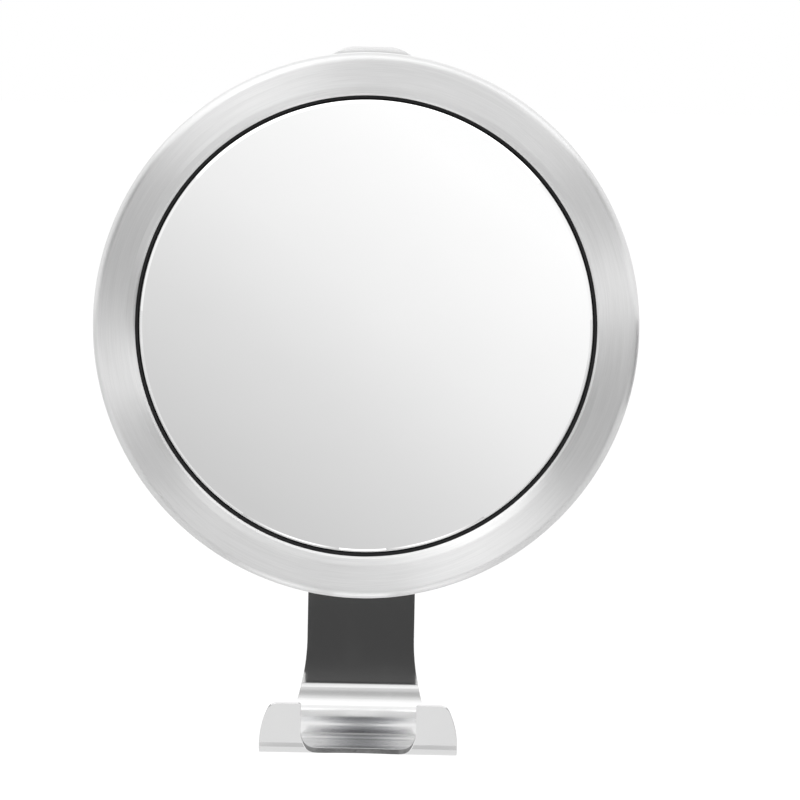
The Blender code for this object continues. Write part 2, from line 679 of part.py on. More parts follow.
def hub_screws(finish, parent):
    """Pan-headed screws from inside the head, through the cup's flange into the cover's hub."""
    under = HUB_FACE + GAP + CUP_FLANGE_THICKNESS + GAP
    top = under + HUB_SCREW_HEAD_HEIGHT
    tip = HUB_FACE - HUB_SCREW_BITE
    crown = HUB_SCREW_HEAD_HEIGHT * HEAD_CROWN_SHARE
    profile = [(0, tip), (HUB_SCREW_SHANK, tip), (HUB_SCREW_SHANK, under), (HUB_SCREW_HEAD, under)]
    profile += [(HUB_SCREW_HEAD, top - crown), (HUB_SCREW_HEAD - crown, top), (0, top)]
    for index, x, z in on_circle(HUB_SCREW_CIRCLE, HUB_SCREW_FIRST_DEG, HUB_SCREWS):
        obj = turned(f"hub_screw_{index}", profile, under, SCREW_SEGMENTS, finish, parent)
        place(obj, x, under, z)
        cross_recess(obj, obj.name, x, z, top, HUB_SCREW_HEAD)


# Head

def bezel_ring(finish, parent):
    """Skirt, rounded edge, flat band, bevel and lip of one pressed sheet, hemmed at the back."""
    lip_rear = RING_FACE - LIP_LENGTH
    bevel_end = RING_FACE - BEVEL_DROP
    path = [(RING_RADIUS - HEM_WIDTH, RING_REAR)]
    path += arc((RING_RADIUS - HEM_RADIUS, RING_REAR + HEM_RADIUS), HEM_RADIUS, -90, 0, 2)
    path += arc((RING_RADIUS - RING_EDGE_RADIUS, RING_FACE - RING_EDGE_RADIUS), RING_EDGE_RADIUS, 0, 90, 4)
    path += [(BAND_INNER, RING_FACE), (BEVEL_INNER, bevel_end)]
    path += [(LIP_INNER, bevel_end - LIP_ROUND), (LIP_INNER, lip_rear)]
    profile = sheet_profile(path, RING_SHEET)
    return turned("bezel_ring", profile, RING_REAR, RING_SEGMENTS, finish, parent)


def mirror_glass(finish, parent):
    """A glass disc, silvered at the back, with a polished bevel round its front edge."""
    profile = [(0, GLASS_REAR), (GLASS_RADIUS, GLASS_REAR), (GLASS_RADIUS, GLASS_FACE - GLASS_BEVEL)]
    profile += [(GLASS_RADIUS - GLASS_BEVEL, GLASS_FACE), (0, GLASS_FACE)]
    return turned("mirror_glass", profile, GLASS_REAR, RING_SEGMENTS, finish, parent)


def mirror_gasket(finish, parent):
    """An angle-section rubber ring between the glass, the tray and the bezel's lip."""
    inner = GLASS_RADIUS + GAP
    outer = inner + GASKET_WIDTH
    top = RING_FACE - LIP_LENGTH - GAP
    base = TRAY_FACE + GAP
    profile = [(outer - GASKET_SKIRT, base), (outer, base), (outer, top), (inner, top)]
    profile += [(inner, top - GASKET_FLANGE), (outer - GASKET_SKIRT, top - GASKET_FLANGE)]
    return turned("mirror_gasket", profile, base, RING_SEGMENTS, finish, parent)


def backing_foam(finish, parent):
    profile = [(FOAM_HOLE, FOAM_REAR), (FOAM_RADIUS, FOAM_REAR)]
    profile += [(FOAM_RADIUS, FOAM_REAR + FOAM_THICKNESS), (FOAM_HOLE, FOAM_REAR + FOAM_THICKNESS)]
    return turned("backing_foam", profile, FOAM_REAR, COVER_SEGMENTS, finish, parent)


def mirror_tray(finish, parent):
    """The moulded plate behind the glass, with a wall that backs the bezel and blind screw bosses."""
    wall_inner = GLASS_RADIUS + GAP + GASKET_WIDTH + GAP
    wall_outer = wall_inner + TRAY_WALL
    wall_top = RING_FACE - RING_SHEET - GAP
    hole = BARREL_RADIUS + TRAY_HOLE_CLEARANCE
    profile = [(hole, TRAY_REAR), (BODY_RADIUS, TRAY_REAR), (BODY_RADIUS, TRAY_FACE)]
    profile += [(wall_outer, TRAY_FACE), (wall_outer, wall_top), (wall_inner, wall_top)]
    profile += [(wall_inner, TRAY_FACE), (hole, TRAY_FACE)]
    obj = turned("mirror_tray", profile, TRAY_REAR, COVER_SEGMENTS, finish, parent)
    boss_rear = TRAY_REAR - TRAY_BOSS_HEIGHT
    pilot_face = TRAY_FACE - TRAY_PILOT_SKIN
    for index, x, z in on_circle(COVER_SCREW_CIRCLE, COVER_SCREW_FIRST_DEG, COVER_SCREWS):
        boss = rod_mesh(TRAY_BOSS_RADIUS, boss_rear, TRAY_REAR + TRAY_WALL / 2)
        boolean(obj, cutter(f"tray_boss_{index}", boss, x, boss_rear, z), "UNION")
        pilot = bore_mesh(COVER_SCREW_SHANK + GAP, boss_rear - OVERRUN, pilot_face)
        boolean(obj, cutter(f"tray_pilot_cutter_{index}", pilot, x, boss_rear - OVERRUN, z), "DIFFERENCE")
    return obj


def dome(rise, flat_radius, start, end, steps):
    """A shallow curve of (radius, forward) from a flat hub out to a rim."""
    points = []
    for step in range(steps + 1):
        share = step / steps
        radius = flat_radius + (COVER_SHOULDER - flat_radius) * share
        points.append((radius, start + (end - start) * share - rise * sin(pi * share)))
    return points


def rear_cover(finish, parent):
    """A shallow dished shell with a hub for the socket, a seal groove and four screw seats."""
    hub_hole = BARREL_RADIUS + GAP
    groove_outer = SEAL_RADIUS + SEAL_WIDTH / 2 + GAP
    groove_floor = COVER_RIM_FACE - SEAL_THICKNESS - GAP
    profile = [(hub_hole, COVER_HUB_REAR)]
    profile += dome(COVER_DOME_RISE, COVER_HUB_RADIUS, COVER_HUB_REAR, COVER_RIM_REAR, 4)
    profile += [(BODY_RADIUS, COVER_RIM_REAR), (BODY_RADIUS, COVER_RIM_FACE)]
    profile += [(groove_outer, COVER_RIM_FACE), (groove_outer, groove_floor)]
    profile += [(GROOVE_INNER, groove_floor), (GROOVE_INNER, COVER_RIM_FACE)]
    inside = dome(COVER_DOME_RISE, COVER_HUB_RADIUS, HUB_FACE, COVER_RIM_FACE, 4)
    profile += inside[::-1] + [(hub_hole, HUB_FACE)]
    obj = turned("rear_cover", profile, COVER_HUB_REAR, COVER_SEGMENTS, finish, parent)
    outside = COVER_HUB_REAR - OVERRUN - COVER_DOME_RISE
    seat_radius = COVER_SCREW_HEAD + GAP
    root = COUNTERBORE_FLOOR - COVER_SCREW_HEAD_HEIGHT
    hole_rear = COUNTERBORE_FLOOR - OVERRUN
    for index, x, z in on_circle(COVER_SCREW_CIRCLE, COVER_SCREW_FIRST_DEG, COVER_SCREWS):
        boss = rod_mesh(seat_radius + COVER_BOSS_WALL, root, COVER_BOSS_FACE)
        boolean(obj, cutter(f"cover_boss_{index}", boss, x, root, z), "UNION")
        seat = rod_mesh(seat_radius, outside, COUNTERBORE_FLOOR, SOCKET_SEGMENTS)
        boolean(obj, cutter(f"cover_seat_cutter_{index}", seat, x, outside, z), "DIFFERENCE")
        hole = bore_mesh(COVER_SCREW_SHANK + GAP, hole_rear, COVER_BOSS_FACE + OVERRUN)
        boolean(obj, cutter(f"cover_hole_cutter_{index}", hole, x, hole_rear, z), "DIFFERENCE")
    tip = HUB_FACE - HUB_SCREW_BITE
    for index, x, z in on_circle(HUB_SCREW_CIRCLE, HUB_SCREW_FIRST_DEG, HUB_SCREWS):
        pilot = bore_mesh(HUB_SCREW_SHANK + GAP, tip - GAP, HUB_FACE + OVERRUN)
        boolean(obj, cutter(f"hub_pilot_cutter_{index}", pilot, x, tip - GAP, z), "DIFFERENCE")
    return obj


def cover_seal(finish, parent):
    """A square-section rubber ring in the cover's groove."""
    face = COVER_RIM_FACE
    rear = face - SEAL_THICKNESS
    inner, outer = SEAL_RADIUS - SEAL_WIDTH / 2, SEAL_RADIUS + SEAL_WIDTH / 2
    profile = [(inner, rear), (outer, rear), (outer, face), (inner, face)]
    return turned("cover_seal", profile, rear, COVER_SEGMENTS, finish, parent)


def cover_screws(finish, parent):
    """Pan-headed screws from behind, through the cover into the tray's bosses."""
    under = COUNTERBORE_FLOOR - GAP
    top = under - COVER_SCREW_HEAD_HEIGHT
    tip = TRAY_FACE - TRAY_PILOT_SKIN - GAP
    crown = COVER_SCREW_HEAD_HEIGHT * HEAD_CROWN_SHARE
    profile = [(0, top), (COVER_SCREW_HEAD - crown, top), (COVER_SCREW_HEAD, top + crown)]
    profile += [(COVER_SCREW_HEAD, under), (COVER_SCREW_SHANK, under), (COVER_SCREW_SHANK, tip), (0, tip)]
    for index, x, z in on_circle(COVER_SCREW_CIRCLE, COVER_SCREW_FIRST_DEG, COVER_SCREWS):
        obj = turned(f"cover_screw_{index}", profile, under, SCREW_SEGMENTS, finish, parent)
        place(obj, x, under, z)
        cross_recess(obj, obj.name, x, z, top, COVER_SCREW_HEAD)


def pivot(name):
    """An empty on the ball's centre, where the head turns."""
    empty = bpy.data.objects.new(name, None)
    bpy.context.scene.collection.objects.link(empty)
    empty.location = (0, -PIVOT, 0)
    return empty


def build():
    clear_scene()
    polished = material("polished_steel", (0.80, 0.80, 0.81), 0.08, 1.0)
    brushed = material("brushed_steel", (0.78, 0.78, 0.79), 0.28, 1.0)
    hardware = material("plain_steel", (0.62, 0.63, 0.65), 0.30, 1.0)
    mirror = material("silvered_glass", (0.92, 0.93, 0.94), 0.02, 1.0)
    black_plastic = material("black_plastic", (0.03, 0.03, 0.032), 0.45, 0.0)
    plated = material("plated_plastic", (0.78, 0.78, 0.79), 0.10, 1.0)
    nylon = material("white_nylon", (0.82, 0.81, 0.76), 0.40, 0.0)
    rubber = material("black_rubber", (0.015, 0.015, 0.016), 0.60, 0.0)
    foam = material("white_foam", (0.85, 0.85, 0.84), 0.80, 0.0)

    hook_strap(polished)
    adhesive_pad(foam)
    lock_washer(hardware)
    ball_stud(polished)
    stud_screw(hardware)
    socket_liner(nylon, pivot("pan_pivot"))
    pressure_seat(nylon, pivot("tilt_pivot"))

    head = pivot("spin_pivot")
    retaining_nut(hardware, head)
    wave_washer(hardware, head)
    socket_cup(black_plastic, head)
    hub_screws(hardware, head)
    bezel_ring(brushed, head)
    mirror_glass(mirror, head)
    mirror_gasket(rubber, head)
    backing_foam(foam, head)
    mirror_tray(black_plastic, head)
    rear_cover(plated, head)
    cover_seal(rubber, head)
    cover_screws(hardware, head)


build()
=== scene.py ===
"""The look of the shower mirror: finer surfaces, finishes, studio and camera, in metres."""

import json
from math import atan2, ceil, cos, degrees, hypot, pi, radians, sin, sqrt, tan

import bmesh
import bpy
from mathutils import Euler, Matrix, Vector

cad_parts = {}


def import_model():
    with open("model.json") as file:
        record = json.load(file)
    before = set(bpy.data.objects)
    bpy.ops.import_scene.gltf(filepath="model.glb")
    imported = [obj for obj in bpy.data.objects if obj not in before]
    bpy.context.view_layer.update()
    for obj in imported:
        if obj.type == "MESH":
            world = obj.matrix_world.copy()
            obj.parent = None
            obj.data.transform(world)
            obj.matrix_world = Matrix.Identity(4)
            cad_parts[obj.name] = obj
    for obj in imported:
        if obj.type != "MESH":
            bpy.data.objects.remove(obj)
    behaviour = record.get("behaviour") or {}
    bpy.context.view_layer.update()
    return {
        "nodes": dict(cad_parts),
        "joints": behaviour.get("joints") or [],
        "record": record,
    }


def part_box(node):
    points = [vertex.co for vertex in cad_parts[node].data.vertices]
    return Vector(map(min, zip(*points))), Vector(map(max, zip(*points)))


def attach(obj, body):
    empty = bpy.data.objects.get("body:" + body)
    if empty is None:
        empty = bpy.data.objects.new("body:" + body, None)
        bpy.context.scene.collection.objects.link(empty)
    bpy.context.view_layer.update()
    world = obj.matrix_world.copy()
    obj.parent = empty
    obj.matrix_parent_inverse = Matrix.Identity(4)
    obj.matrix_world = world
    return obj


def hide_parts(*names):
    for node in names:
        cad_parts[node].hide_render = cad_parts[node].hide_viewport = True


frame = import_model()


def span(node):
    """Radius, rear and face of a turned node; rear and face are distances out from the wall."""
    low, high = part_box(node)
    return (high.x - low.x) / 2, -high.y, -low.y


# Sizes read from the frame
STRAP_LOW, STRAP_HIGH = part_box("hook_strap")
PAD_LOW, PAD_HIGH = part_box("adhesive_pad")
RING_RADIUS, RING_REAR, RING_FACE = span("bezel_ring")
GLASS_RADIUS, GLASS_REAR, GLASS_FACE = span("mirror_glass")
GASKET_RADIUS, GASKET_REAR, GASKET_FACE = span("mirror_gasket")
COVER_RADIUS, COVER_REAR, COVER_FACE = span("rear_cover")
NUT_RADIUS, NUT_REAR, NUT_FACE = span("retaining_nut")
BALL_RADIUS, FLANGE_REAR, BALL_FACE = span("ball_stud")
PIVOT = -frame["joints"][0]["pos_m"][1]
GAP = 0.0003
SLIVER = 0.000003
OVERRUN = 0.001

# Strap and hook, as the solid has them
STRAP_SHEET = 0.0015
STRAP_REAR = -STRAP_HIGH.y
STRAP_FACE = STRAP_REAR + STRAP_SHEET
STRAP_TOP = STRAP_HIGH.z
STRAP_WIDTH = 0.030
STRAP_CORNER = 0.0105
STRAP_RIM = 0.00012
FLARE_RADIUS = 0.062
CURL_RADIUS = 0.015
CURL_START = -STRAP_LOW.z - STRAP_SHEET - CURL_RADIUS
FLOOR_LENGTH = 0.0115
LIP_RADIUS = 0.003
LIP_RISE = 0.0107
LIP_LEAN_DEG = 8
LIP_BEND = radians(90 - LIP_LEAN_DEG)
HOOK_WIDTH = STRAP_HIGH.x - STRAP_LOW.x
HIP_RADIUS = 0.006
HIP_SETBACK = 0.0082
SWEEP_RADIUS = 0.024
SHOULDER_RADIUS = 0.003
NOTCH_WIDTH = 0.0317
NOTCH_SETBACK = 0.0004
NOTCH_CORNER = 0.0065
NOTCH_CROWN = 0.060
NOTCH_TIP_RADIUS = 0.0008
SHEARED_SHORT = 0.0006
CURL_STEPS = 56
LIP_STEPS = 28
STUD_SCREW_HEAD = 0.0027
STUD_SCREW_SHANK = 0.0015
STUD_SCREW_SUNK = 0.0001
LENGTH_FLAT = STRAP_TOP + CURL_START
LENGTH_CURL = LENGTH_FLAT + CURL_RADIUS * pi / 2
LENGTH_FLOOR = LENGTH_CURL + FLOOR_LENGTH
LENGTH_BEND = LENGTH_FLOOR + LIP_RADIUS * LIP_BEND
LENGTH_TIP = LENGTH_BEND + LIP_RISE
LENGTH_HIP = LENGTH_FLOOR - HIP_SETBACK
LENGTH_NOTCH = LENGTH_FLOOR - NOTCH_SETBACK

# Bezel ring
RING_SHEET = 0.001
RING_EDGE_RADIUS = 0.0021
HEM_RADIUS = 0.0014
HEM_WIDTH = 0.0024
BAND_WIDTH = 0.0092
BAND_INNER = RING_RADIUS - BAND_WIDTH
BAND_DISH = 0.00075
BAND_ROLL = 0.0036
BEVEL_WIDTH = 0.0018
BEVEL_INNER = BAND_INNER - BEVEL_WIDTH
BEVEL_DROP = 0.0012
LIP_STEP = 0.0006
LIP_INNER = BEVEL_INNER - LIP_STEP
LIP_ROUND = 0.0005
LIP_LENGTH = 0.0022

# Glass, its gasket and the pad
GLASS_BEVEL_WIDTH = 0.0008
GLASS_BEVEL_DROP = 0.0005
GASKET_SKIRT = 0.0017
GASKET_FLANGE = 0.001
PAD_CORNER = 0.009
PAD_RIM = 0.0002

# Ball stud and retaining nut
FLANGE_RADIUS = 0.0055
FLANGE_THICKNESS = 0.0016
FLANGE_FLAT = 0.00475
NECK_RADIUS = 0.003
STUD_BORE = 0.0018
STUD_BORE_DEPTH = 0.007
NUT_MOUTH_RADIUS = 0.0056
NUT_BORE = 0.0083
SOCKET_BORE = 0.0066
NUT_MOUTH_DEG = 45
NUT_SEAT_DEG = 75
NUT_SLOTS = 6
NUT_SLOT_WIDTH = 0.0018
NUT_SLOT_DEPTH = 0.0012
NUT_SLOT_LENGTH = 0.0025

# Rear cover and its screws
HUB_RADIUS = 0.016
HUB_HOLE = 0.0083
HUB_THICKNESS = 0.0027
COVER_RIM_REAR = RING_REAR + RING_SHEET + GAP
COVER_SHOULDER = 0.0661
COVER_DOME_RISE = 0.0012
COVER_DOME_STEPS = 40
BOSS_WALL = 0.0013
BOSS_FLOOR = 0.0019
SCREW_CIRCLE = 0.040
SCREW_FIRST_DEG = 45
SCREW_COUNT = 4
SCREW_HEAD = 0.0026
SCREW_HEAD_HEIGHT = 0.0015
SCREW_SHANK = 0.00125
CROSS_WIDTH = 0.0005
CROSS_DEPTH = 0.0006
CROSS_REACH = 0.0032

# Rounded edges
BROKEN_EDGE = 0.00005
CRISP_EDGE = 0.0001
FINE_EDGE = 0.0002
EDGE = 0.0003
BLUNT_EDGE = 0.0004
SCREW_HEAD_ROUND = 0.0005
NECK_FILLET = 0.0006
NUT_FACE_ROUND = 0.0006
NUT_REAR_ROUND = 0.0009

# Facets
RING_SEGMENTS = 288
SMALL_SEGMENTS = 72
STEP_DEG = 12


# Modelling helpers

def rounded(corners):
    """A closed profile in which each corner (across, along, rounding) has become an arc."""
    points = []
    for index, (across, along, rounding) in enumerate(corners):
        here = Vector((across, along))
        if not rounding:
            points.append((across, along))
            continue
        back = (Vector(corners[index - 1][:2]) - here).normalized()
        on = (Vector(corners[(index + 1) % len(corners)][:2]) - here).normalized()
        half = back.angle(on) / 2
        centre = here + (back + on).normalized() * rounding / sin(half)
        start = here + back * rounding / tan(half) - centre
        end = here + on * rounding / tan(half) - centre
        turn = atan2(start.x * end.y - start.y * end.x, start.dot(end))
        steps = max(2, ceil(degrees(abs(turn)) / STEP_DEG))
        for step in range(steps + 1):
            angle = atan2(start.y, start.x) + turn * step / steps
            points.append((centre.x + rounding * cos(angle), centre.y + rounding * sin(angle)))
    return points


def arc(centre, radius, start_deg, end_deg, steps):
    """Points of an arc as (radius from the axis, forward); 0 degrees points outwards, 90 forward."""
    points = []
    for step in range(steps + 1):
        angle = radians(start_deg + (end_deg - start_deg) * step / steps)
        points.append((centre[0] + radius * cos(angle), centre[1] + radius * sin(angle)))
    return points


def turned_mesh(profile, segments, x=0, z=0):
    """A closed profile of (radius, forward) turned round a forward axis through (x, z)."""
    bm = bmesh.new()
    angles = [2 * pi * index / segments for index in range(segments)]
    rings = []
    for radius, forward in profile:
        if radius:
            rings.append([bm.verts.new((x + radius * cos(a), -forward, z + radius * sin(a))) for a in angles])
        else:
            rings.append([bm.verts.new((x, -forward, z))] * segments)
    for before, after in zip(rings, rings[1:] + rings[:1]):
        for index in range(segments):
            corners = dict.fromkeys((before[index - 1], before[index], after[index], after[index - 1]))
            if len(corners) > 2:
                bm.faces.new(list(corners))
    bmesh.ops.recalc_face_normals(bm, faces=bm.faces)
    return bm


def box_mesh(size, place, turn=0):
    """A block of that size, turned about the forward axis."""
    bm = bmesh.new()
    bmesh.ops.create_cube(bm, size=1)
    bmesh.ops.scale(bm, vec=size, verts=bm.verts)
    bmesh.ops.rotate(bm, cent=(0, 0, 0), matrix=Matrix.Rotation(-turn, 3, "Y"), verts=bm.verts)
    bmesh.ops.translate(bm, vec=place, verts=bm.verts)
    return bm


def object_from(bm, name):
    """A mesh object made from a bmesh, which is freed."""
    mesh = bpy.data.meshes.new(name)
    bm.to_mesh(mesh)
    bm.free()
    obj = bpy.data.objects.new(name, mesh)
    bpy.context.scene.collection.objects.link(obj)
    return obj


def worked(bm, *steps):
    """The mesh after a list of (operation, other mesh) Booleans, without slivers, as a new bmesh."""
    blank = object_from(bm, "blank")
    others = []
    for operation, other_bm in steps:
        others.append(object_from(other_bm, "other"))
        modifier = blank.modifiers.new("work", "BOOLEAN")
        modifier.operation = operation
        modifier.object = others[-1]
    shaped = blank.evaluated_get(bpy.context.evaluated_depsgraph_get()).to_mesh()
    result = bmesh.new()
    result.from_mesh(shaped)
    for obj in [blank] + others:
        bpy.data.objects.remove(obj, do_unlink=True)
    bmesh.ops.remove_doubles(result, verts=result.verts, dist=SLIVER)
    return result


def on_circle(radius, first_deg, count):
    """Number, angle, x and z of each place of a pattern round the forward axis."""
    for index in range(count):
        angle = radians(first_deg) + 2 * pi * index / count
        yield index + 1, angle, radius * cos(angle), radius * sin(angle)


def plate_mesh(outline, thickness, rim, steps=4):
    """A flat plate (across, along, depth) with an anticlockwise outline and edges of radius rim."""
    count = len(outline)
    inwards = []
    for index in range(count):
        before, after = outline[index - 1], outline[(index + 1) % count]
        length = hypot(after[0] - before[0], after[1] - before[1])
        inwards.append(((before[1] - after[1]) / length, (after[0] - before[0]) / length))
    levels = []
    for step in range(steps + 1):
        angle = pi / 2 * step / steps
        levels.append((rim * (1 - sin(angle)), rim * (1 - cos(angle))))
    levels += [(inset, thickness - depth) for inset, depth in levels[::-1]]
    bm = bmesh.new()
    rings = []
    for inset, depth in levels:
        rings.append([
            bm.verts.new((x + n[0] * inset, y + n[1] * inset, depth))
            for (x, y), n in zip(outline, inwards)
        ])
    for before, after in zip(rings, rings[1:]):
        for index in range(count):
            bm.faces.new((before[index - 1], before[index], after[index], after[index - 1]))
    bm.faces.new(rings[0])
    bm.faces.new(rings[-1])
    return bm


# Nodes of the materials

class Graph:
    """Short calls for the nodes of one material."""

    def __init__(self, material):
        material.use_nodes = True
        self.tree = material.node_tree
        self.tree.nodes.clear()

    def node(self, kind, inputs=None, **settings):
        made = self.tree.nodes.new("ShaderNode" + kind)
        for key, value in settings.items():
            setattr(made, key, value)
        for key, value in (inputs or {}).items():
            self.feed(made.inputs[key], value)
        return made

    def feed(self, socket, value):
        if isinstance(value, bpy.types.NodeSocket):
            self.tree.links.new(value, socket)
        else:
            socket.default_value = value

    def math(self, operation, *values):
        made = self.node("Math", operation=operation)
        for index, value in enumerate(values):
            self.feed(made.inputs[index], value)
        return made.outputs[0]

    def ranged(self, value, low, high, to_low=0.0, to_high=1.0):
        """Value mapped from one range to another, clamped."""
        made = self.node("MapRange", {"Value": value, "From Min": low, "From Max": high})
        self.feed(made.inputs["To Min"], to_low)
        self.feed(made.inputs["To Max"], to_high)
        return made.outputs["Result"]

    def noise(self, vector, scale, detail=2.0, roughness=0.5):
        inputs = {"Vector": vector, "Scale": scale, "Detail": detail, "Roughness": roughness}
        return self.node("TexNoise", inputs).outputs["Fac"]

    def stretched(self, vector, scale):
        """A place vector multiplied axis by axis."""
        return self.node("VectorMath", {0: vector, 1: scale}, operation="MULTIPLY").outputs["Vector"]

    def mixed(self, factor, first, second):
        """Two colours mixed by a factor."""
        made = self.node("Mix", data_type="RGBA")
        for identifier, value in (("Factor_Float", factor), ("A_Color", first), ("B_Color", second)):
            self.feed(next(socket for socket in made.inputs if socket.identifier == identifier), value)
        return next(socket for socket in made.outputs if socket.identifier == "Result_Color")

    def bump(self, height, distance):
        return self.node("Bump", {"Height": height, "Distance": distance}).outputs["Normal"]

    def shaded(self, value, stops):
        """A value led through (value, result) stops, straight from each stop to the next."""
        result = stops[0][1]
        for (start, low), (end, high) in zip(stops, stops[1:]):
            result = self.math("ADD", result, self.ranged(value, start, end, 0.0, high - low))
        return result

    def place(self):
        return self.node("TexCoord").outputs["Object"]

    def surface(self, **inputs):
        """The Principled shader; underscores in the names stand for spaces."""
        shader = self.node("BsdfPrincipled", {key.replace("_", " "): value for key, value in inputs.items()})
        self.output(shader.outputs["BSDF"])

    def output(self, shader):
        self.tree.links.new(shader, self.node("OutputMaterial").inputs["Surface"])


def grey(value):
    return (value, value, value, 1.0)


def polar(graph):
    """Cosine and sine of the angle round the forward axis, the distance from it and the place along it."""
    split = graph.node("SeparateXYZ", {"Vector": graph.place()})
    x, y, z = (split.outputs[axis] for axis in "XYZ")
    squares = graph.math("ADD", graph.math("MULTIPLY", x, x), graph.math("MULTIPLY", z, z))
    distance = graph.math("SQRT", squares)
    return graph.math("DIVIDE", x, distance), graph.math("DIVIDE", z, distance), distance, y


def polished_steel():
    """Mirror polish with faint wiping marks, a little duller where the sheet is bent."""
    material = bpy.data.materials.new("polished_steel")
    graph = Graph(material)
    place = graph.place()
    smears = graph.noise(graph.stretched(place, (90, 90, 45)), 1.0, 4.0, 0.6)
    hairlines = graph.noise(graph.stretched(place, (6000, 6000, 60)), 1.0, 2.0)
    height = graph.node("SeparateXYZ", {"Vector": place}).outputs["Z"]
    bending = graph.ranged(height, -CURL_START, -CURL_START - CURL_RADIUS / 3, 0.06, 0.12)
    tint = graph.mixed(graph.ranged(smears, 0.3, 0.7), grey(0.85), grey(0.87))
    graph.surface(
        Base_Color=tint,
        Metallic=1.0,
        Roughness=graph.math("ADD", bending, graph.ranged(smears, 0.55, 0.85, 0.0, 0.05)),
        Normal=graph.bump(hairlines, 0.0000006),
    )
    return material


def sheared_steel():
    """The cut edge of the polished sheet: duller and darker, with streaks across its thickness."""
    material = bpy.data.materials.new("sheared_steel")
    graph = Graph(material)
    streaks = graph.noise(graph.stretched(graph.place(), (2500, 500, 2500)), 1.0, 3.0, 0.6)
    tint = graph.mixed(graph.ranged(streaks, 0.3, 0.7), grey(0.18), grey(0.27))
    graph.surface(
        Base_Color=tint,
        Metallic=1.0,
        Roughness=graph.ranged(streaks, 0.3, 0.7, 0.26, 0.38),
        Normal=graph.bump(streaks, 0.000004),
    )
    return material


def brushed_steel():
    """Spun brushing: fine rings round the forward axis, which spread light along the radius."""
    material = bpy.data.materials.new("brushed_steel")
    graph = Graph(material)
    across, up, distance, forward = polar(graph)
    reach = graph.math("ADD", distance, graph.math("MULTIPLY", forward, 1.3))

    def streaks(arcs, rings, detail):
        vector = graph.node("CombineXYZ", {
            "X": graph.math("MULTIPLY", across, arcs),
            "Y": graph.math("MULTIPLY", up, arcs),
            "Z": graph.math("MULTIPLY", reach, rings),
        })
        return graph.noise(vector.outputs["Vector"], 1.0, detail, 0.6)

    fine = streaks(5.0, 4200.0, 3.0)
    broad = streaks(2.4, 900.0, 3.0)
    patches = streaks(2.0, 60.0, 2.0)
    grain = graph.math("ADD", graph.math("MULTIPLY", fine, 0.6), graph.math("MULTIPLY", broad, 0.4))
    tint = graph.mixed(graph.ranged(grain, 0.35, 0.65), grey(0.82), grey(0.90))
    graph.surface(
        Base_Color=tint,
        Metallic=1.0,
        Roughness=graph.ranged(patches, 0.3, 0.7, 0.29, 0.33),
        Anisotropic=1.0,
        Anisotropic_Rotation=0.25,
        Tangent=graph.node("Tangent", direction_type="RADIAL", axis="Y").outputs["Tangent"],
        Normal=graph.bump(grain, 0.000004),
    )
    return material


def plain_steel():
    """Satin hardware steel with a slight orange peel."""
    material = bpy.data.materials.new("plain_steel")
    graph = Graph(material)
    place = graph.place()
    grain = graph.noise(place, 2600.0, 3.0)
    worn = graph.noise(place, 320.0, 3.0)
    tint = graph.mixed(graph.ranged(worn, 0.35, 0.65), (0.58, 0.59, 0.61, 1), (0.66, 0.67, 0.69, 1))
    graph.surface(
        Base_Color=tint,
        Metallic=1.0,
        Roughness=graph.ranged(worn, 0.3, 0.7, 0.24, 0.36),
        Normal=graph.bump(grain, 0.000006),
    )
    return material


def silvered_glass():
    """Silvered glass: almost perfectly smooth, with the faintest wiping haze."""
    material = bpy.data.materials.new("silvered_glass")
    graph = Graph(material)
    wipes = graph.noise(graph.stretched(graph.place(), (30, 30, 55)), 1.0, 4.0, 0.55)
    tint = graph.mixed(graph.ranged(wipes, 0.3, 0.7), grey(0.918), grey(0.928))
    graph.surface(
        Base_Color=tint,
        Metallic=1.0,
        Roughness=graph.ranged(wipes, 0.4, 0.8, 0.008, 0.03),
    )
    return material


def ground_glass():
    """The glass's ground edge, with the green of its thickness."""
    material = bpy.data.materials.new("ground_glass")
    graph = Graph(material)
    grain = graph.noise(graph.place(), 3000.0, 3.0)
    tint = graph.mixed(graph.ranged(grain, 0.3, 0.7), (0.10, 0.13, 0.12, 1), (0.16, 0.20, 0.185, 1))
    graph.surface(Base_Color=tint, Roughness=0.5, IOR=1.52, Normal=graph.bump(grain, 0.00001))
    return material


def black_plastic():
    """Spark-eroded moulding texture on black plastic."""
    material = bpy.data.materials.new("black_plastic")
    graph = Graph(material)
    place = graph.place()
    texture = graph.noise(place, 2400.0, 3.0)
    handling = graph.noise(place, 60.0, 3.0)
    tint = graph.mixed(graph.ranged(handling, 0.35, 0.7), (0.026, 0.026, 0.028, 1), (0.036, 0.036, 0.038, 1))
    graph.surface(
        Base_Color=tint,
        Roughness=graph.ranged(handling, 0.3, 0.7, 0.40, 0.50),
        Normal=graph.bump(texture, 0.00004),
    )
    return material


def plated_plastic():
    """Bright plating over a moulding, with the moulding's slight waviness."""
    material = bpy.data.materials.new("plated_plastic")
    graph = Graph(material)
    place = graph.place()
    waves = graph.noise(place, 120.0, 2.0)
    handling = graph.noise(place, 55.0, 4.0, 0.6)
    tint = graph.mixed(graph.ranged(handling, 0.35, 0.7), (0.85, 0.85, 0.86, 1), (0.88, 0.88, 0.885, 1))
    graph.surface(
        Base_Color=tint,
        Metallic=1.0,
        Roughness=graph.ranged(handling, 0.4, 0.8, 0.10, 0.18),
        Normal=graph.bump(waves, 0.00004),
    )
    return material


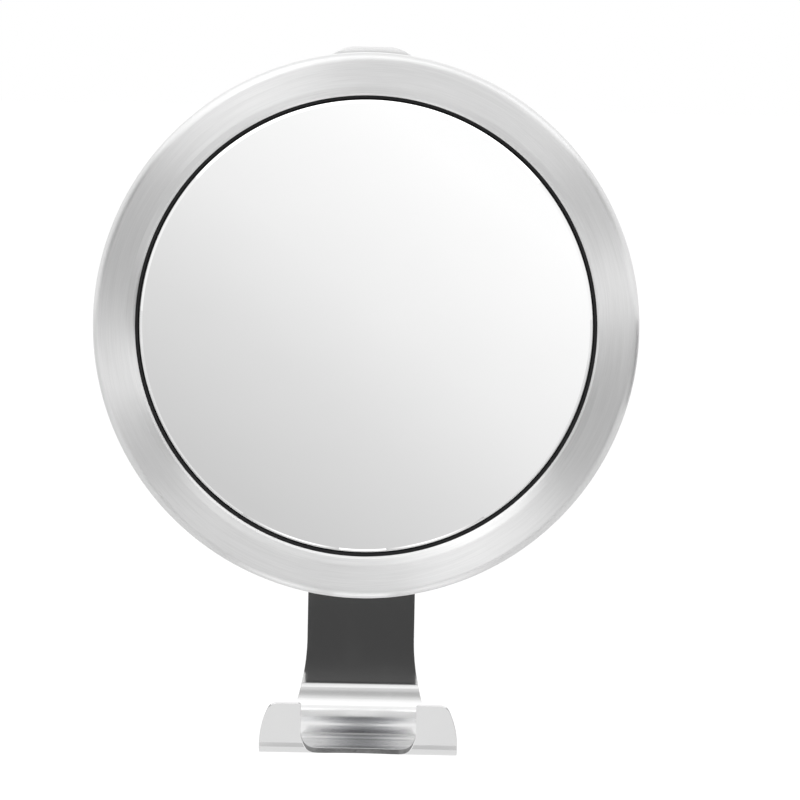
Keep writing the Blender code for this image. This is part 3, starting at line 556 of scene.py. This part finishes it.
def white_nylon():
    """Natural nylon, slightly translucent, with turning marks."""
    material = bpy.data.materials.new("white_nylon")
    graph = Graph(material)
    place = graph.place()
    marks = graph.noise(graph.stretched(place, (600, 4000, 600)), 1.0, 2.0)
    clouds = graph.noise(place, 300.0, 2.0)
    tint = graph.mixed(clouds, (0.79, 0.78, 0.72, 1), (0.85, 0.84, 0.79, 1))
    graph.surface(
        Base_Color=tint,
        Roughness=0.4,
        Subsurface_Weight=0.2,
        Subsurface_Scale=0.002,
        Normal=graph.bump(marks, 0.00001),
    )
    return material


def black_rubber():
    """Matt rubber with a dusty bloom."""
    material = bpy.data.materials.new("black_rubber")
    graph = Graph(material)
    place = graph.place()
    bloom = graph.noise(place, 220.0, 3.0)
    skin = graph.noise(place, 4000.0, 2.0)
    tint = graph.mixed(graph.ranged(bloom, 0.4, 0.8), (0.012, 0.012, 0.013, 1), (0.022, 0.022, 0.023, 1))
    graph.surface(
        Base_Color=tint,
        Roughness=graph.ranged(bloom, 0.3, 0.7, 0.56, 0.68),
        Specular_IOR_Level=0.3,
        Normal=graph.bump(skin, 0.00001),
    )
    return material


def white_foam():
    """Closed-cell foam: small round pores, their hollows darkened with painted shade."""
    material = bpy.data.materials.new("white_foam")
    graph = Graph(material)
    place = graph.place()
    cells = graph.node("TexVoronoi", {"Vector": place, "Scale": 2200.0}).outputs["Distance"]
    pore_depth_and_shade = graph.ranged(cells, 0.1, 0.5)
    shade = graph.noise(place, 150.0, 3.0)
    # Painted shade: the tint darkens towards each pore's middle, where its hollow lies; the same mask also
    # gives the pores their depth in the bump.
    tint = graph.mixed(graph.math("MULTIPLY", pore_depth_and_shade, shade), (0.74, 0.74, 0.73, 1), (0.90, 0.90, 0.89, 1))
    graph.surface(Base_Color=tint, Roughness=0.8, Normal=graph.bump(pore_depth_and_shade, 0.00006))
    return material


FINISHES = {
    make.__name__: make() for make in (
        polished_steel, brushed_steel, plain_steel, silvered_glass,
        black_plastic, plated_plastic, white_nylon, black_rubber, white_foam,
    )
}
SLOT_OF = {part["node"]: part["material_slot"] for part in frame["record"]["subparts"]}
BODY_OF = {
    node: body for body, nodes in frame["record"]["behaviour"]["bodies"].items() for node in nodes
}


def finished(node, bm, smooth_deg=40, extra=None):
    """A finer piece that stands for a node, on its body and in its finish."""
    obj = object_from(bm, node + "_finished")
    obj.data.materials.append(FINISHES[SLOT_OF[node]])
    if extra:
        obj.data.materials.append(extra)
    obj.data.shade_smooth()
    obj.data.set_sharp_from_angle(angle=radians(smooth_deg))
    obj.modifiers.new("even_shading", "WEIGHTED_NORMAL").keep_sharp = True
    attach(obj, BODY_OF[node])
    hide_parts(node)
    return obj


# Strap and hook

def flare():
    """Where the strap starts to flare, and where its flare turns into the hip's round corner."""
    across = STRAP_WIDTH / 2 + FLARE_RADIUS - HOOK_WIDTH / 2 + HIP_RADIUS
    reach = FLARE_RADIUS + HIP_RADIUS
    start = LENGTH_HIP - sqrt(reach ** 2 - across ** 2)
    return start, start + (LENGTH_HIP - start) * FLARE_RADIUS / reach


def shoulder():
    """The wing's outer corner: the round's centre across and along, and where it starts."""
    sweep = LENGTH_FLOOR + LIP_RADIUS
    along = LENGTH_TIP - SHOULDER_RADIUS
    reach = SWEEP_RADIUS - SHOULDER_RADIUS
    across = HOOK_WIDTH / 2 - SWEEP_RADIUS + sqrt(reach ** 2 - (along - sweep) ** 2)
    return across, along, sweep + (along - sweep) * SWEEP_RADIUS / reach


def notch_corner():
    """The notch's rounded corner: its centre across and along, and where the crown meets it."""
    across = NOTCH_WIDTH / 2 - NOTCH_CORNER
    reach = NOTCH_CROWN - NOTCH_CORNER
    along = LENGTH_NOTCH + NOTCH_CROWN - sqrt(reach ** 2 - across ** 2)
    return across, along, across * NOTCH_CROWN / reach


def swept(centre, radius, start, end, steps):
    """Points of an arc of the blank's outline, between two angles in radians."""
    return [
        (
            centre[0] + radius * cos(start + (end - start) * step / steps),
            centre[1] + radius * sin(start + (end - start) * step / steps),
        )
        for step in range(steps + 1)
    ]


def right_outline():
    """Right half of the blank's outline, from its top edge round to the notch's floor."""
    half, hook = STRAP_WIDTH / 2, HOOK_WIDTH / 2
    flare_start, flare_end = flare()
    sweep = LENGTH_FLOOR + LIP_RADIUS
    round_across, round_along, round_start = shoulder()
    notch_across, notch_along, meet = notch_corner()
    crown_along = LENGTH_NOTCH + NOTCH_CROWN
    flare_turn = atan2(flare_end - flare_start, sqrt(FLARE_RADIUS ** 2 - (flare_end - flare_start) ** 2))
    sweep_turn = atan2(round_start - sweep, sqrt(SWEEP_RADIUS ** 2 - (round_start - sweep) ** 2))
    crown_turn = atan2(meet, sqrt(NOTCH_CROWN ** 2 - meet ** 2))
    tip_across = NOTCH_WIDTH / 2 + NOTCH_TIP_RADIUS
    tip_along = LENGTH_TIP - NOTCH_TIP_RADIUS
    points = swept((half - STRAP_CORNER, STRAP_CORNER), STRAP_CORNER, -pi / 2, 0, 24)
    points += swept((half + FLARE_RADIUS, flare_start), FLARE_RADIUS, pi, pi - flare_turn, 24)
    points += swept((hook - HIP_RADIUS, LENGTH_HIP), HIP_RADIUS, -flare_turn, 0, 12)[1:]
    points += swept((hook - SWEEP_RADIUS, sweep), SWEEP_RADIUS, 0, sweep_turn, 12)
    points += swept((round_across, round_along), SHOULDER_RADIUS, sweep_turn, pi / 2, 12)[1:]
    points += swept((tip_across, tip_along), NOTCH_TIP_RADIUS, pi / 2, pi, 8)
    points += swept((notch_across, notch_along), NOTCH_CORNER, 0, crown_turn - pi / 2, 20)
    points += swept((0, crown_along), NOTCH_CROWN, crown_turn - pi / 2, -pi / 2, 12)[1:]
    return points


def bent(length, depth):
    """(forward, z) of a point of the bent sheet; depth is counted in from the hook's inner face."""
    curl = CURL_RADIUS + depth
    bend = LIP_RADIUS + depth
    floor_z = -CURL_START - CURL_RADIUS
    floor_start = STRAP_FACE + CURL_RADIUS
    if length <= LENGTH_FLAT:
        return STRAP_FACE - depth, STRAP_TOP - length
    if length <= LENGTH_CURL:
        angle = (length - LENGTH_FLAT) / CURL_RADIUS
        return floor_start - curl * cos(angle), -CURL_START - curl * sin(angle)
    if length <= LENGTH_FLOOR:
        return floor_start + length - LENGTH_CURL, floor_z - depth
    angle = min((length - LENGTH_FLOOR) / LIP_RADIUS, LIP_BEND)
    rise = max(length - LENGTH_BEND, 0)
    forward = floor_start + FLOOR_LENGTH + bend * sin(angle) + rise * cos(LIP_BEND)
    return forward, floor_z + LIP_RADIUS - bend * cos(angle) + rise * sin(LIP_BEND)


def steps_between(start, end, count):
    """Lengths from start to end in equal steps, with both ends."""
    return [start + (end - start) * step / count for step in range(count + 1)]


def countersink():
    """What the stud's screw takes out of the flat blank, from behind."""
    wide, bore = STUD_SCREW_HEAD + GAP, STUD_SCREW_SHANK + GAP
    start = STRAP_REAR - OVERRUN
    profile = [
        (0, start), (wide, start), (wide, STRAP_REAR + STUD_SCREW_SUNK),
        (bore, STRAP_REAR + STUD_SCREW_SUNK + wide - bore), (bore, STRAP_FACE + OVERRUN),
        (0, STRAP_FACE + OVERRUN),
    ]
    bm = turned_mesh(profile, SMALL_SEGMENTS)
    for vert in bm.verts:
        vert.co = (vert.co.x, STRAP_TOP - vert.co.z, STRAP_FACE + vert.co.y)
    return bm


def hook_strap():
    """The flat blank with rounded edges, cut across where it bends, and then bent."""
    right = right_outline()
    left = [(-across, along) for across, along in right[-2::-1]]
    bm = worked(plate_mesh(right + left, STRAP_SHEET, STRAP_RIM), ("DIFFERENCE", countersink()))
    bm.normal_update()
    for face in bm.faces:
        if abs(face.normal.z) < 0.3 and face.calc_center_median().y < LENGTH_TIP - SHEARED_SHORT:
            face.material_index = 1
    cuts = steps_between(LENGTH_FLAT, LENGTH_CURL, CURL_STEPS)
    cuts += steps_between(LENGTH_FLOOR, LENGTH_BEND, LIP_STEPS)
    for length in cuts:
        bmesh.ops.bisect_plane(
            bm, geom=bm.verts[:] + bm.edges[:] + bm.faces[:], dist=1e-7,
            plane_co=(0, length, 0), plane_no=(0, 1, 0),
        )
    for vert in bm.verts:
        forward, z = bent(vert.co.y, vert.co.z)
        vert.co = (vert.co.x, -forward, z)
    bmesh.ops.recalc_face_normals(bm, faces=bm.faces)
    if bm.calc_volume(signed=True) < 0:
        bmesh.ops.reverse_faces(bm, faces=bm.faces)
    finished("hook_strap", bm, extra=sheared_steel())


def adhesive_pad():
    """The foam tape behind the strap, with round corners and soft edges."""
    outline = rounded([
        (PAD_HIGH.x, PAD_HIGH.z, PAD_CORNER), (PAD_LOW.x, PAD_HIGH.z, PAD_CORNER),
        (PAD_LOW.x, PAD_LOW.z, PAD_CORNER), (PAD_HIGH.x, PAD_LOW.z, PAD_CORNER),
    ])
    bm = plate_mesh(outline, PAD_HIGH.y - PAD_LOW.y, PAD_RIM)
    for vert in bm.verts:
        vert.co = (vert.co.x, -vert.co.z, vert.co.y)
    bmesh.ops.recalc_face_normals(bm, faces=bm.faces)
    finished("adhesive_pad", bm)


# Ball joint

def ball_stud():
    """Flange with two spanner flats, neck and ball."""
    neck_deg = degrees(atan2(NECK_RADIUS, sqrt(BALL_RADIUS ** 2 - NECK_RADIUS ** 2)))
    bore_end = FLANGE_REAR + STUD_BORE_DEPTH
    flange_face = FLANGE_REAR + FLANGE_THICKNESS
    neck_end = PIVOT - BALL_RADIUS * cos(radians(neck_deg))
    profile = rounded([
        (STUD_BORE, FLANGE_REAR, FINE_EDGE), (FLANGE_RADIUS, FLANGE_REAR, FINE_EDGE),
        (FLANGE_RADIUS, flange_face, EDGE), (NECK_RADIUS, flange_face, NECK_FILLET),
        (NECK_RADIUS, neck_end, 0), (0, PIVOT, 0), (0, bore_end, 0), (STUD_BORE, bore_end, 0),
    ])
    at_neck = profile.index((NECK_RADIUS, neck_end))
    profile[at_neck:at_neck + 2] = arc((0, PIVOT), BALL_RADIUS, neck_deg - 90, 90, 36)[:-1] + [(0, BALL_FACE)]
    bm = turned_mesh(profile, SMALL_SEGMENTS)
    for vert in bm.verts:
        if -vert.co.y < flange_face + GAP:
            vert.co.x = max(-FLANGE_FLAT, min(FLANGE_FLAT, vert.co.x))
    finished("ball_stud", bm)


def retaining_nut():
    """The slotted collar round the ball, with its edges broken."""
    seat = arc((0, PIVOT), SOCKET_BORE, NUT_MOUTH_DEG - 90, NUT_SEAT_DEG - 90, 8)
    profile = rounded([
        (*seat[0], BLUNT_EDGE), (NUT_MOUTH_RADIUS, NUT_REAR, BLUNT_EDGE),
        (NUT_RADIUS, NUT_REAR, NUT_REAR_ROUND), (NUT_RADIUS, NUT_FACE, NUT_FACE_ROUND),
        (NUT_BORE, NUT_FACE, FINE_EDGE), (NUT_BORE, seat[-1][1], EDGE),
    ])
    profile += seat[:0:-1]
    slots = []
    for _, angle, x, z in on_circle(NUT_RADIUS, 0, NUT_SLOTS):
        size = (2 * NUT_SLOT_DEPTH, 2 * NUT_SLOT_LENGTH, NUT_SLOT_WIDTH)
        slots.append(("DIFFERENCE", box_mesh(size, (x, -NUT_REAR, z), angle)))
    bm = worked(turned_mesh(profile, SMALL_SEGMENTS), *slots)
    finished("retaining_nut", bm)


# Head

def bezel_ring():
    """Skirt, rounded edge, flat band, bevel and lip of one pressed sheet, hemmed at the back."""
    bevel_end = RING_FACE - BEVEL_DROP
    lip_rear = RING_FACE - LIP_LENGTH
    inner = RING_RADIUS - RING_SHEET
    under = RING_FACE - RING_SHEET
    profile = rounded([
        (RING_RADIUS - HEM_WIDTH, RING_REAR, EDGE), (RING_RADIUS, RING_REAR, HEM_RADIUS),
        (RING_RADIUS, RING_FACE, RING_EDGE_RADIUS), (BAND_INNER, RING_FACE - BAND_DISH, BAND_ROLL),
        (BEVEL_INNER, bevel_end, EDGE), (LIP_INNER, bevel_end - LIP_ROUND, EDGE),
        (LIP_INNER, lip_rear, FINE_EDGE), (LIP_INNER + RING_SHEET, lip_rear, FINE_EDGE),
        (BAND_INNER, under - GAP, 0), (inner, under, RING_EDGE_RADIUS - RING_SHEET),
        (inner, RING_REAR + RING_SHEET, HEM_RADIUS - RING_SHEET),
        (RING_RADIUS - HEM_WIDTH, RING_REAR + RING_SHEET, EDGE),
    ])
    finished("bezel_ring", turned_mesh(profile, RING_SEGMENTS))


def mirror_glass():
    """The glass, with a polished bevel in front and a ground edge behind it."""
    bevel_rear = GLASS_FACE - GLASS_BEVEL_DROP
    profile = [
        (0, GLASS_REAR), (GLASS_RADIUS, GLASS_REAR), (GLASS_RADIUS, bevel_rear),
        (GLASS_RADIUS - GLASS_BEVEL_WIDTH, GLASS_FACE), (0, GLASS_FACE),
    ]
    obj = finished("mirror_glass", turned_mesh(profile, RING_SEGMENTS), smooth_deg=20, extra=ground_glass())
    for face in obj.data.polygons:
        if abs(face.normal.y) < 0.5:
            face.material_index = 1


def mirror_gasket():
    """The rubber ring round the glass: a flange in the gap, with a skirt behind its outer edge."""
    inner = GLASS_RADIUS + GAP
    skirt = GASKET_RADIUS - GASKET_SKIRT
    profile = rounded([
        (skirt, GASKET_REAR, EDGE), (GASKET_RADIUS, GASKET_REAR, EDGE),
        (GASKET_RADIUS, GASKET_FACE, EDGE), (inner, GASKET_FACE, EDGE),
        (inner, GASKET_FACE - GASKET_FLANGE, FINE_EDGE), (skirt, GASKET_FACE - GASKET_FLANGE, EDGE),
    ])
    finished("mirror_gasket", turned_mesh(profile, RING_SEGMENTS))


def dome(start, end):
    """A shallow curve of (radius, forward) from the cover's hub out to its rim."""
    points = []
    for step in range(COVER_DOME_STEPS + 1):
        share = step / COVER_DOME_STEPS
        radius = HUB_RADIUS + (COVER_SHOULDER - HUB_RADIUS) * share
        points.append((radius, start + (end - start) * share - COVER_DOME_RISE * sin(pi * share)))
    return points


def rear_cover():
    """The dished shell with its hub and four deep screw seats."""
    outside = dome(COVER_REAR, COVER_RIM_REAR)
    inside = dome(COVER_REAR + HUB_THICKNESS, COVER_FACE)
    profile = [(HUB_HOLE, COVER_REAR)] + outside
    profile += [(COVER_RADIUS, COVER_RIM_REAR), (COVER_RADIUS, COVER_FACE)]
    profile += inside[::-1] + [(HUB_HOLE, COVER_REAR + HUB_THICKNESS)]
    head_rear = -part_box("cover_screw_1")[1].y
    seat_floor = head_rear + SCREW_HEAD_HEIGHT + GAP
    seat_radius = SCREW_HEAD + GAP
    bore = SCREW_SHANK + GAP
    boss_radius = seat_radius + BOSS_WALL
    boss_face = seat_floor + BOSS_FLOOR
    steps = []
    for _, _, x, z in on_circle(SCREW_CIRCLE, SCREW_FIRST_DEG, SCREW_COUNT):
        boss = [
            (0, head_rear + GAP), (boss_radius, head_rear + GAP), (boss_radius, boss_face), (0, boss_face),
        ]
        seat = [
            (0, COVER_REAR - 2 * OVERRUN), (seat_radius, COVER_REAR - 2 * OVERRUN),
            (seat_radius, seat_floor), (bore, seat_floor), (bore, boss_face + OVERRUN),
            (0, boss_face + OVERRUN),
        ]
        steps.append(("UNION", turned_mesh(boss, SMALL_SEGMENTS, x, z)))
        steps.append(("DIFFERENCE", turned_mesh(seat, SMALL_SEGMENTS, x, z)))
    bm = worked(turned_mesh(profile, RING_SEGMENTS // 2), *steps)
    finished("rear_cover", bm)


def cover_screws():
    """Pan heads with cross recesses, facing the wall."""
    for index, _, x, z in on_circle(SCREW_CIRCLE, SCREW_FIRST_DEG, SCREW_COUNT):
        node = f"cover_screw_{index}"
        low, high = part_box(node)
        rear, tip = -high.y, -low.y
        under = rear + SCREW_HEAD_HEIGHT
        profile = rounded([
            (0, rear, 0), (SCREW_HEAD, rear, SCREW_HEAD_ROUND), (SCREW_HEAD, under, CRISP_EDGE),
            (SCREW_SHANK, under, 0), (SCREW_SHANK, tip, BLUNT_EDGE), (0, tip, 0),
        ])
        arms = [
            ("DIFFERENCE", box_mesh((CROSS_REACH, 2 * CROSS_DEPTH, CROSS_WIDTH), (x, -rear, z))),
            ("DIFFERENCE", box_mesh((CROSS_WIDTH, 2 * CROSS_DEPTH, CROSS_REACH), (x, -rear, z))),
        ]
        finished(node, worked(turned_mesh(profile, SMALL_SEGMENTS, x, z), *arms))


def carried_over():
    """Nodes that keep their own mesh: a finish, and edges broken a little."""
    for node, obj in frame["nodes"].items():
        if obj.hide_render:
            continue
        obj.data.materials.clear()
        obj.data.materials.append(FINISHES[SLOT_OF[node]])
        bevel = obj.modifiers.new("broken_edges", "BEVEL")
        bevel.width = BROKEN_EDGE
        bevel.segments = 2
        bevel.limit_method = "ANGLE"
        bevel.angle_limit = radians(40)


# Studio

CAMERA_AIM = Vector((0.0097, -0.0283, -0.0200))
CAMERA_DISTANCE = 1.5
CAMERA_ELEVATION_DEG = 5.0
CAMERA_ROLL_DEG = 1.14
CAMERA_LENS = 245.8
FLOOR_Z = -0.35
FLOOR_SIZE = 24.0
FLOOR_SHADES = [(-0.9, 0.60), (-0.6, 0.42), (-0.1, 0.42), (0.6, 0.55), (1.2, 0.80)]
OVERHEAD_Z = 1.15
OVERHEAD_WIDTH = 3.2

# The plane just behind the camera, and the middle of what the mirror shows of it
FRONT = CAMERA_AIM.y - CAMERA_DISTANCE - 0.02
SEEN_X = -0.009
SEEN_Z = -0.110

# The striped tent: how far out from the wall it starts, its hole, its radius and its thickness
TENT = -FRONT + 0.01
TENT_HOLE = 0.17
TENT_REACH = 1.6
TENT_SHEET = 0.01
TENT_SEGMENTS = 96


def camera():
    """A long lens in front of the mirror, a little above it."""
    data = bpy.data.cameras.new("camera")
    data.lens = CAMERA_LENS
    data.clip_start = 0.01
    obj = bpy.data.objects.new("camera", data)
    bpy.context.scene.collection.objects.link(obj)
    rise = radians(CAMERA_ELEVATION_DEG)
    obj.location = CAMERA_AIM + CAMERA_DISTANCE * Vector((0, -cos(rise), sin(rise)))
    level = Euler((pi / 2 - rise, 0, 0)).to_matrix()
    roll = Matrix.Rotation(radians(CAMERA_ROLL_DEG), 3, "Z")
    obj.rotation_euler = (level @ roll).to_euler()
    bpy.context.scene.camera = obj


def backdrop_light(graph):
    """1 for the rays that see the background: straight, in a reflection or through glass."""
    path = graph.node("LightPath")
    seen = graph.math("MAXIMUM", path.outputs["Is Camera Ray"], path.outputs["Is Glossy Ray"])
    return graph.math("MAXIMUM", seen, path.outputs["Is Transmission Ray"])


def world():
    """White where it is seen, and a softer white where it lights."""
    made = bpy.data.worlds.new("studio")
    bpy.context.scene.world = made
    graph = Graph(made)
    light = graph.node("Background", {"Color": grey(1.0), "Strength": 0.6})
    seen = graph.node("Background", {"Color": grey(1.0), "Strength": 1.0})
    mix = graph.node("MixShader", {0: backdrop_light(graph), 1: light.outputs[0], 2: seen.outputs[0]})
    graph.tree.links.new(mix.outputs[0], graph.node("OutputWorld").inputs["Surface"])


def flat_object(name, width, height):
    """A rectangle of the studio, in its own X and Y."""
    mesh = bpy.data.meshes.new(name)
    corners = [(-width / 2, -height / 2, 0), (width / 2, -height / 2, 0), (width / 2, height / 2, 0)]
    mesh.from_pydata(corners + [(-width / 2, height / 2, 0)], [], [(0, 1, 2, 3)])
    obj = bpy.data.objects.new(name, mesh)
    bpy.context.scene.collection.objects.link(obj)
    return obj


def floor():
    """Pale floor, partly lit by itself, so that it is white behind the mirror and takes a shadow."""
    obj = flat_object("floor", FLOOR_SIZE, FLOOR_SIZE)
    obj.location.z = FLOOR_Z
    material = bpy.data.materials.new("floor")
    graph = Graph(material)
    forward = graph.node("SeparateXYZ", {"Vector": graph.place()}).outputs["Y"]
    own = graph.node("Emission", {"Color": grey(1.0), "Strength": graph.shaded(forward, FLOOR_SHADES)})
    lit = graph.node("BsdfDiffuse", {"Color": grey(0.42)})
    plain = graph.node("BsdfDiffuse", {"Color": grey(0.8)})
    both = graph.node("AddShader", {0: own.outputs[0], 1: lit.outputs[0]})
    mix = graph.node("MixShader", {0: backdrop_light(graph), 1: plain.outputs[0], 2: both.outputs[0]})
    graph.output(mix.outputs[0])
    obj.data.materials.append(material)


def only_reflected(obj):
    """Leave the object to be seen by glossy rays alone."""
    for ray in ("camera", "diffuse", "shadow", "volume_scatter", "transmission"):
        setattr(obj, "visible_" + ray, False)


def card(name, place, width, height, stops, direction=(0, 1), turn=(-pi / 2, 0, 0)):
    """A card for reflections, which faces the mirror unless it is turned.

    Its stops are (distance along direction from its middle, brightness).
    """
    obj = flat_object(name, width, height)
    obj.location = place
    obj.rotation_euler = turn
    only_reflected(obj)
    material = bpy.data.materials.new(name)
    graph = Graph(material)
    split = graph.node("SeparateXYZ", {"Vector": graph.place()})
    along = graph.math(
        "ADD", graph.math("MULTIPLY", split.outputs["X"], direction[0]),
        graph.math("MULTIPLY", split.outputs["Y"], -direction[1]),
    )
    emission = graph.node("Emission", {"Color": grey(1.0), "Strength": graph.shaded(along, stops)})
    graph.output(emission.outputs[0])
    obj.data.materials.append(material)


def striped_tent(stops):
    """A ring behind the camera, striped light and dark by angle, for the brushed ring to reflect."""
    far = TENT + TENT_SHEET
    profile = [(TENT_HOLE, TENT), (TENT_REACH, TENT), (TENT_REACH, far), (TENT_HOLE, far)]
    obj = object_from(turned_mesh(profile, TENT_SEGMENTS, SEEN_X, SEEN_Z), "striped_tent")
    only_reflected(obj)
    material = bpy.data.materials.new("striped_tent")
    graph = Graph(material)
    split = graph.node("SeparateXYZ", {"Vector": graph.place()})
    across = graph.math("SUBTRACT", split.outputs["X"], SEEN_X)
    up = graph.math("SUBTRACT", split.outputs["Z"], SEEN_Z)
    angle = graph.math("ARCTAN2", up, across)
    turns = graph.math("WRAP", graph.math("MULTIPLY", angle, 180 / pi), 180.0, 0.0)
    emission = graph.node("Emission", {"Color": grey(1.0), "Strength": graph.shaded(turns, stops)})
    graph.output(emission.outputs[0])
    obj.data.materials.append(material)


def reflection_cards():
    """What the mirror, the strap and the ring see around them."""
    card(
        "mirror_card", (SEEN_X, FRONT, SEEN_Z), 0.34, 0.30,
        [(-0.12, 0.655), (-0.05, 0.785), (0.01, 0.93), (0.10, 1.08)], direction=(0.6, 0.8),
    )
    card("strap_card", (-0.003, -0.45, -0.160), 0.40, 0.092, [
        (-0.03, 0.07), (-0.005, 0.10), (0.002, 0.060), (0.032, 0.057), (0.046, 0.36),
    ])
    card(
        "hook_card", (SEEN_X, FRONT + 0.01, 0.73), 0.20, 1.34,
        [(-0.65, 0.74), (-0.54, 0.70), (-0.41, 0.48), (-0.23, 0.51), (-0.13, 0.65), (0.14, 1.05), (0.5, 1.3)],
    )
    card(
        "overhead_card", (0, -0.66, OVERHEAD_Z), OVERHEAD_WIDTH, 0.56,
        [(-1, 1.75), (1, 1.75)], turn=(0, 0, 0),
    )
    card("low_card", (0, -0.055, -0.128), 0.026, 0.034, [(-1, 1.6), (1, 1.6)], turn=(0, 0, 0))
    card("ground_card", (0, -0.21, FLOOR_Z + 0.01), 0.40, 0.22, [
        (-0.20, 0.60), (-0.11, 1.3), (-0.07, 1.3), (-0.03, 0.60),
        (0.03, 0.60), (0.07, 1.3), (0.11, 1.3), (0.20, 0.60),
    ], direction=(1, 0), turn=(0, 0, 0))
    card("right_flag", (1.0, -0.10, -0.19), 0.32, 0.6, [(-1, 0.1), (1, 0.1)], turn=(0, -pi / 2, 0))
    striped_tent([
        (0, 0.62), (6, 0.90), (11, 1.35), (15, 1.25), (20, 0.40), (31, 0.15), (45, 1.05), (60, 0.86),
        (75, 0.84), (90, 1.16), (105, 1.41), (120, 1.62), (135, 1.28), (148, 0.12), (165, 0.15), (180, 0.62),
    ])


def softbox(name, place, width, height, power):
    """A large soft lamp aimed at the frame's origin; the cards stand for it in reflections."""
    data = bpy.data.lights.new(name, "AREA")
    data.shape = "RECTANGLE"
    data.size, data.size_y = width, height
    data.energy = power
    obj = bpy.data.objects.new(name, data)
    bpy.context.scene.collection.objects.link(obj)
    obj.location = place
    obj.rotation_euler = (-Vector(place)).to_track_quat("-Z", "Y").to_euler()
    obj.visible_glossy = False


def view_settings():
    """Plain colours, and enough bounces between the strap and the head."""
    scene = bpy.context.scene
    scene.view_settings.view_transform = "Standard"
    scene.cycles.max_bounces = 16
    scene.cycles.glossy_bounces = 12


hook_strap()
adhesive_pad()
ball_stud()
retaining_nut()
bezel_ring()
mirror_glass()
mirror_gasket()
rear_cover()
cover_screws()
carried_over()

camera()
world()
floor()
reflection_cards()
softbox("overhead_softbox", (0, -0.55, OVERHEAD_Z), OVERHEAD_WIDTH, 1.2, 15.5)
view_settings()
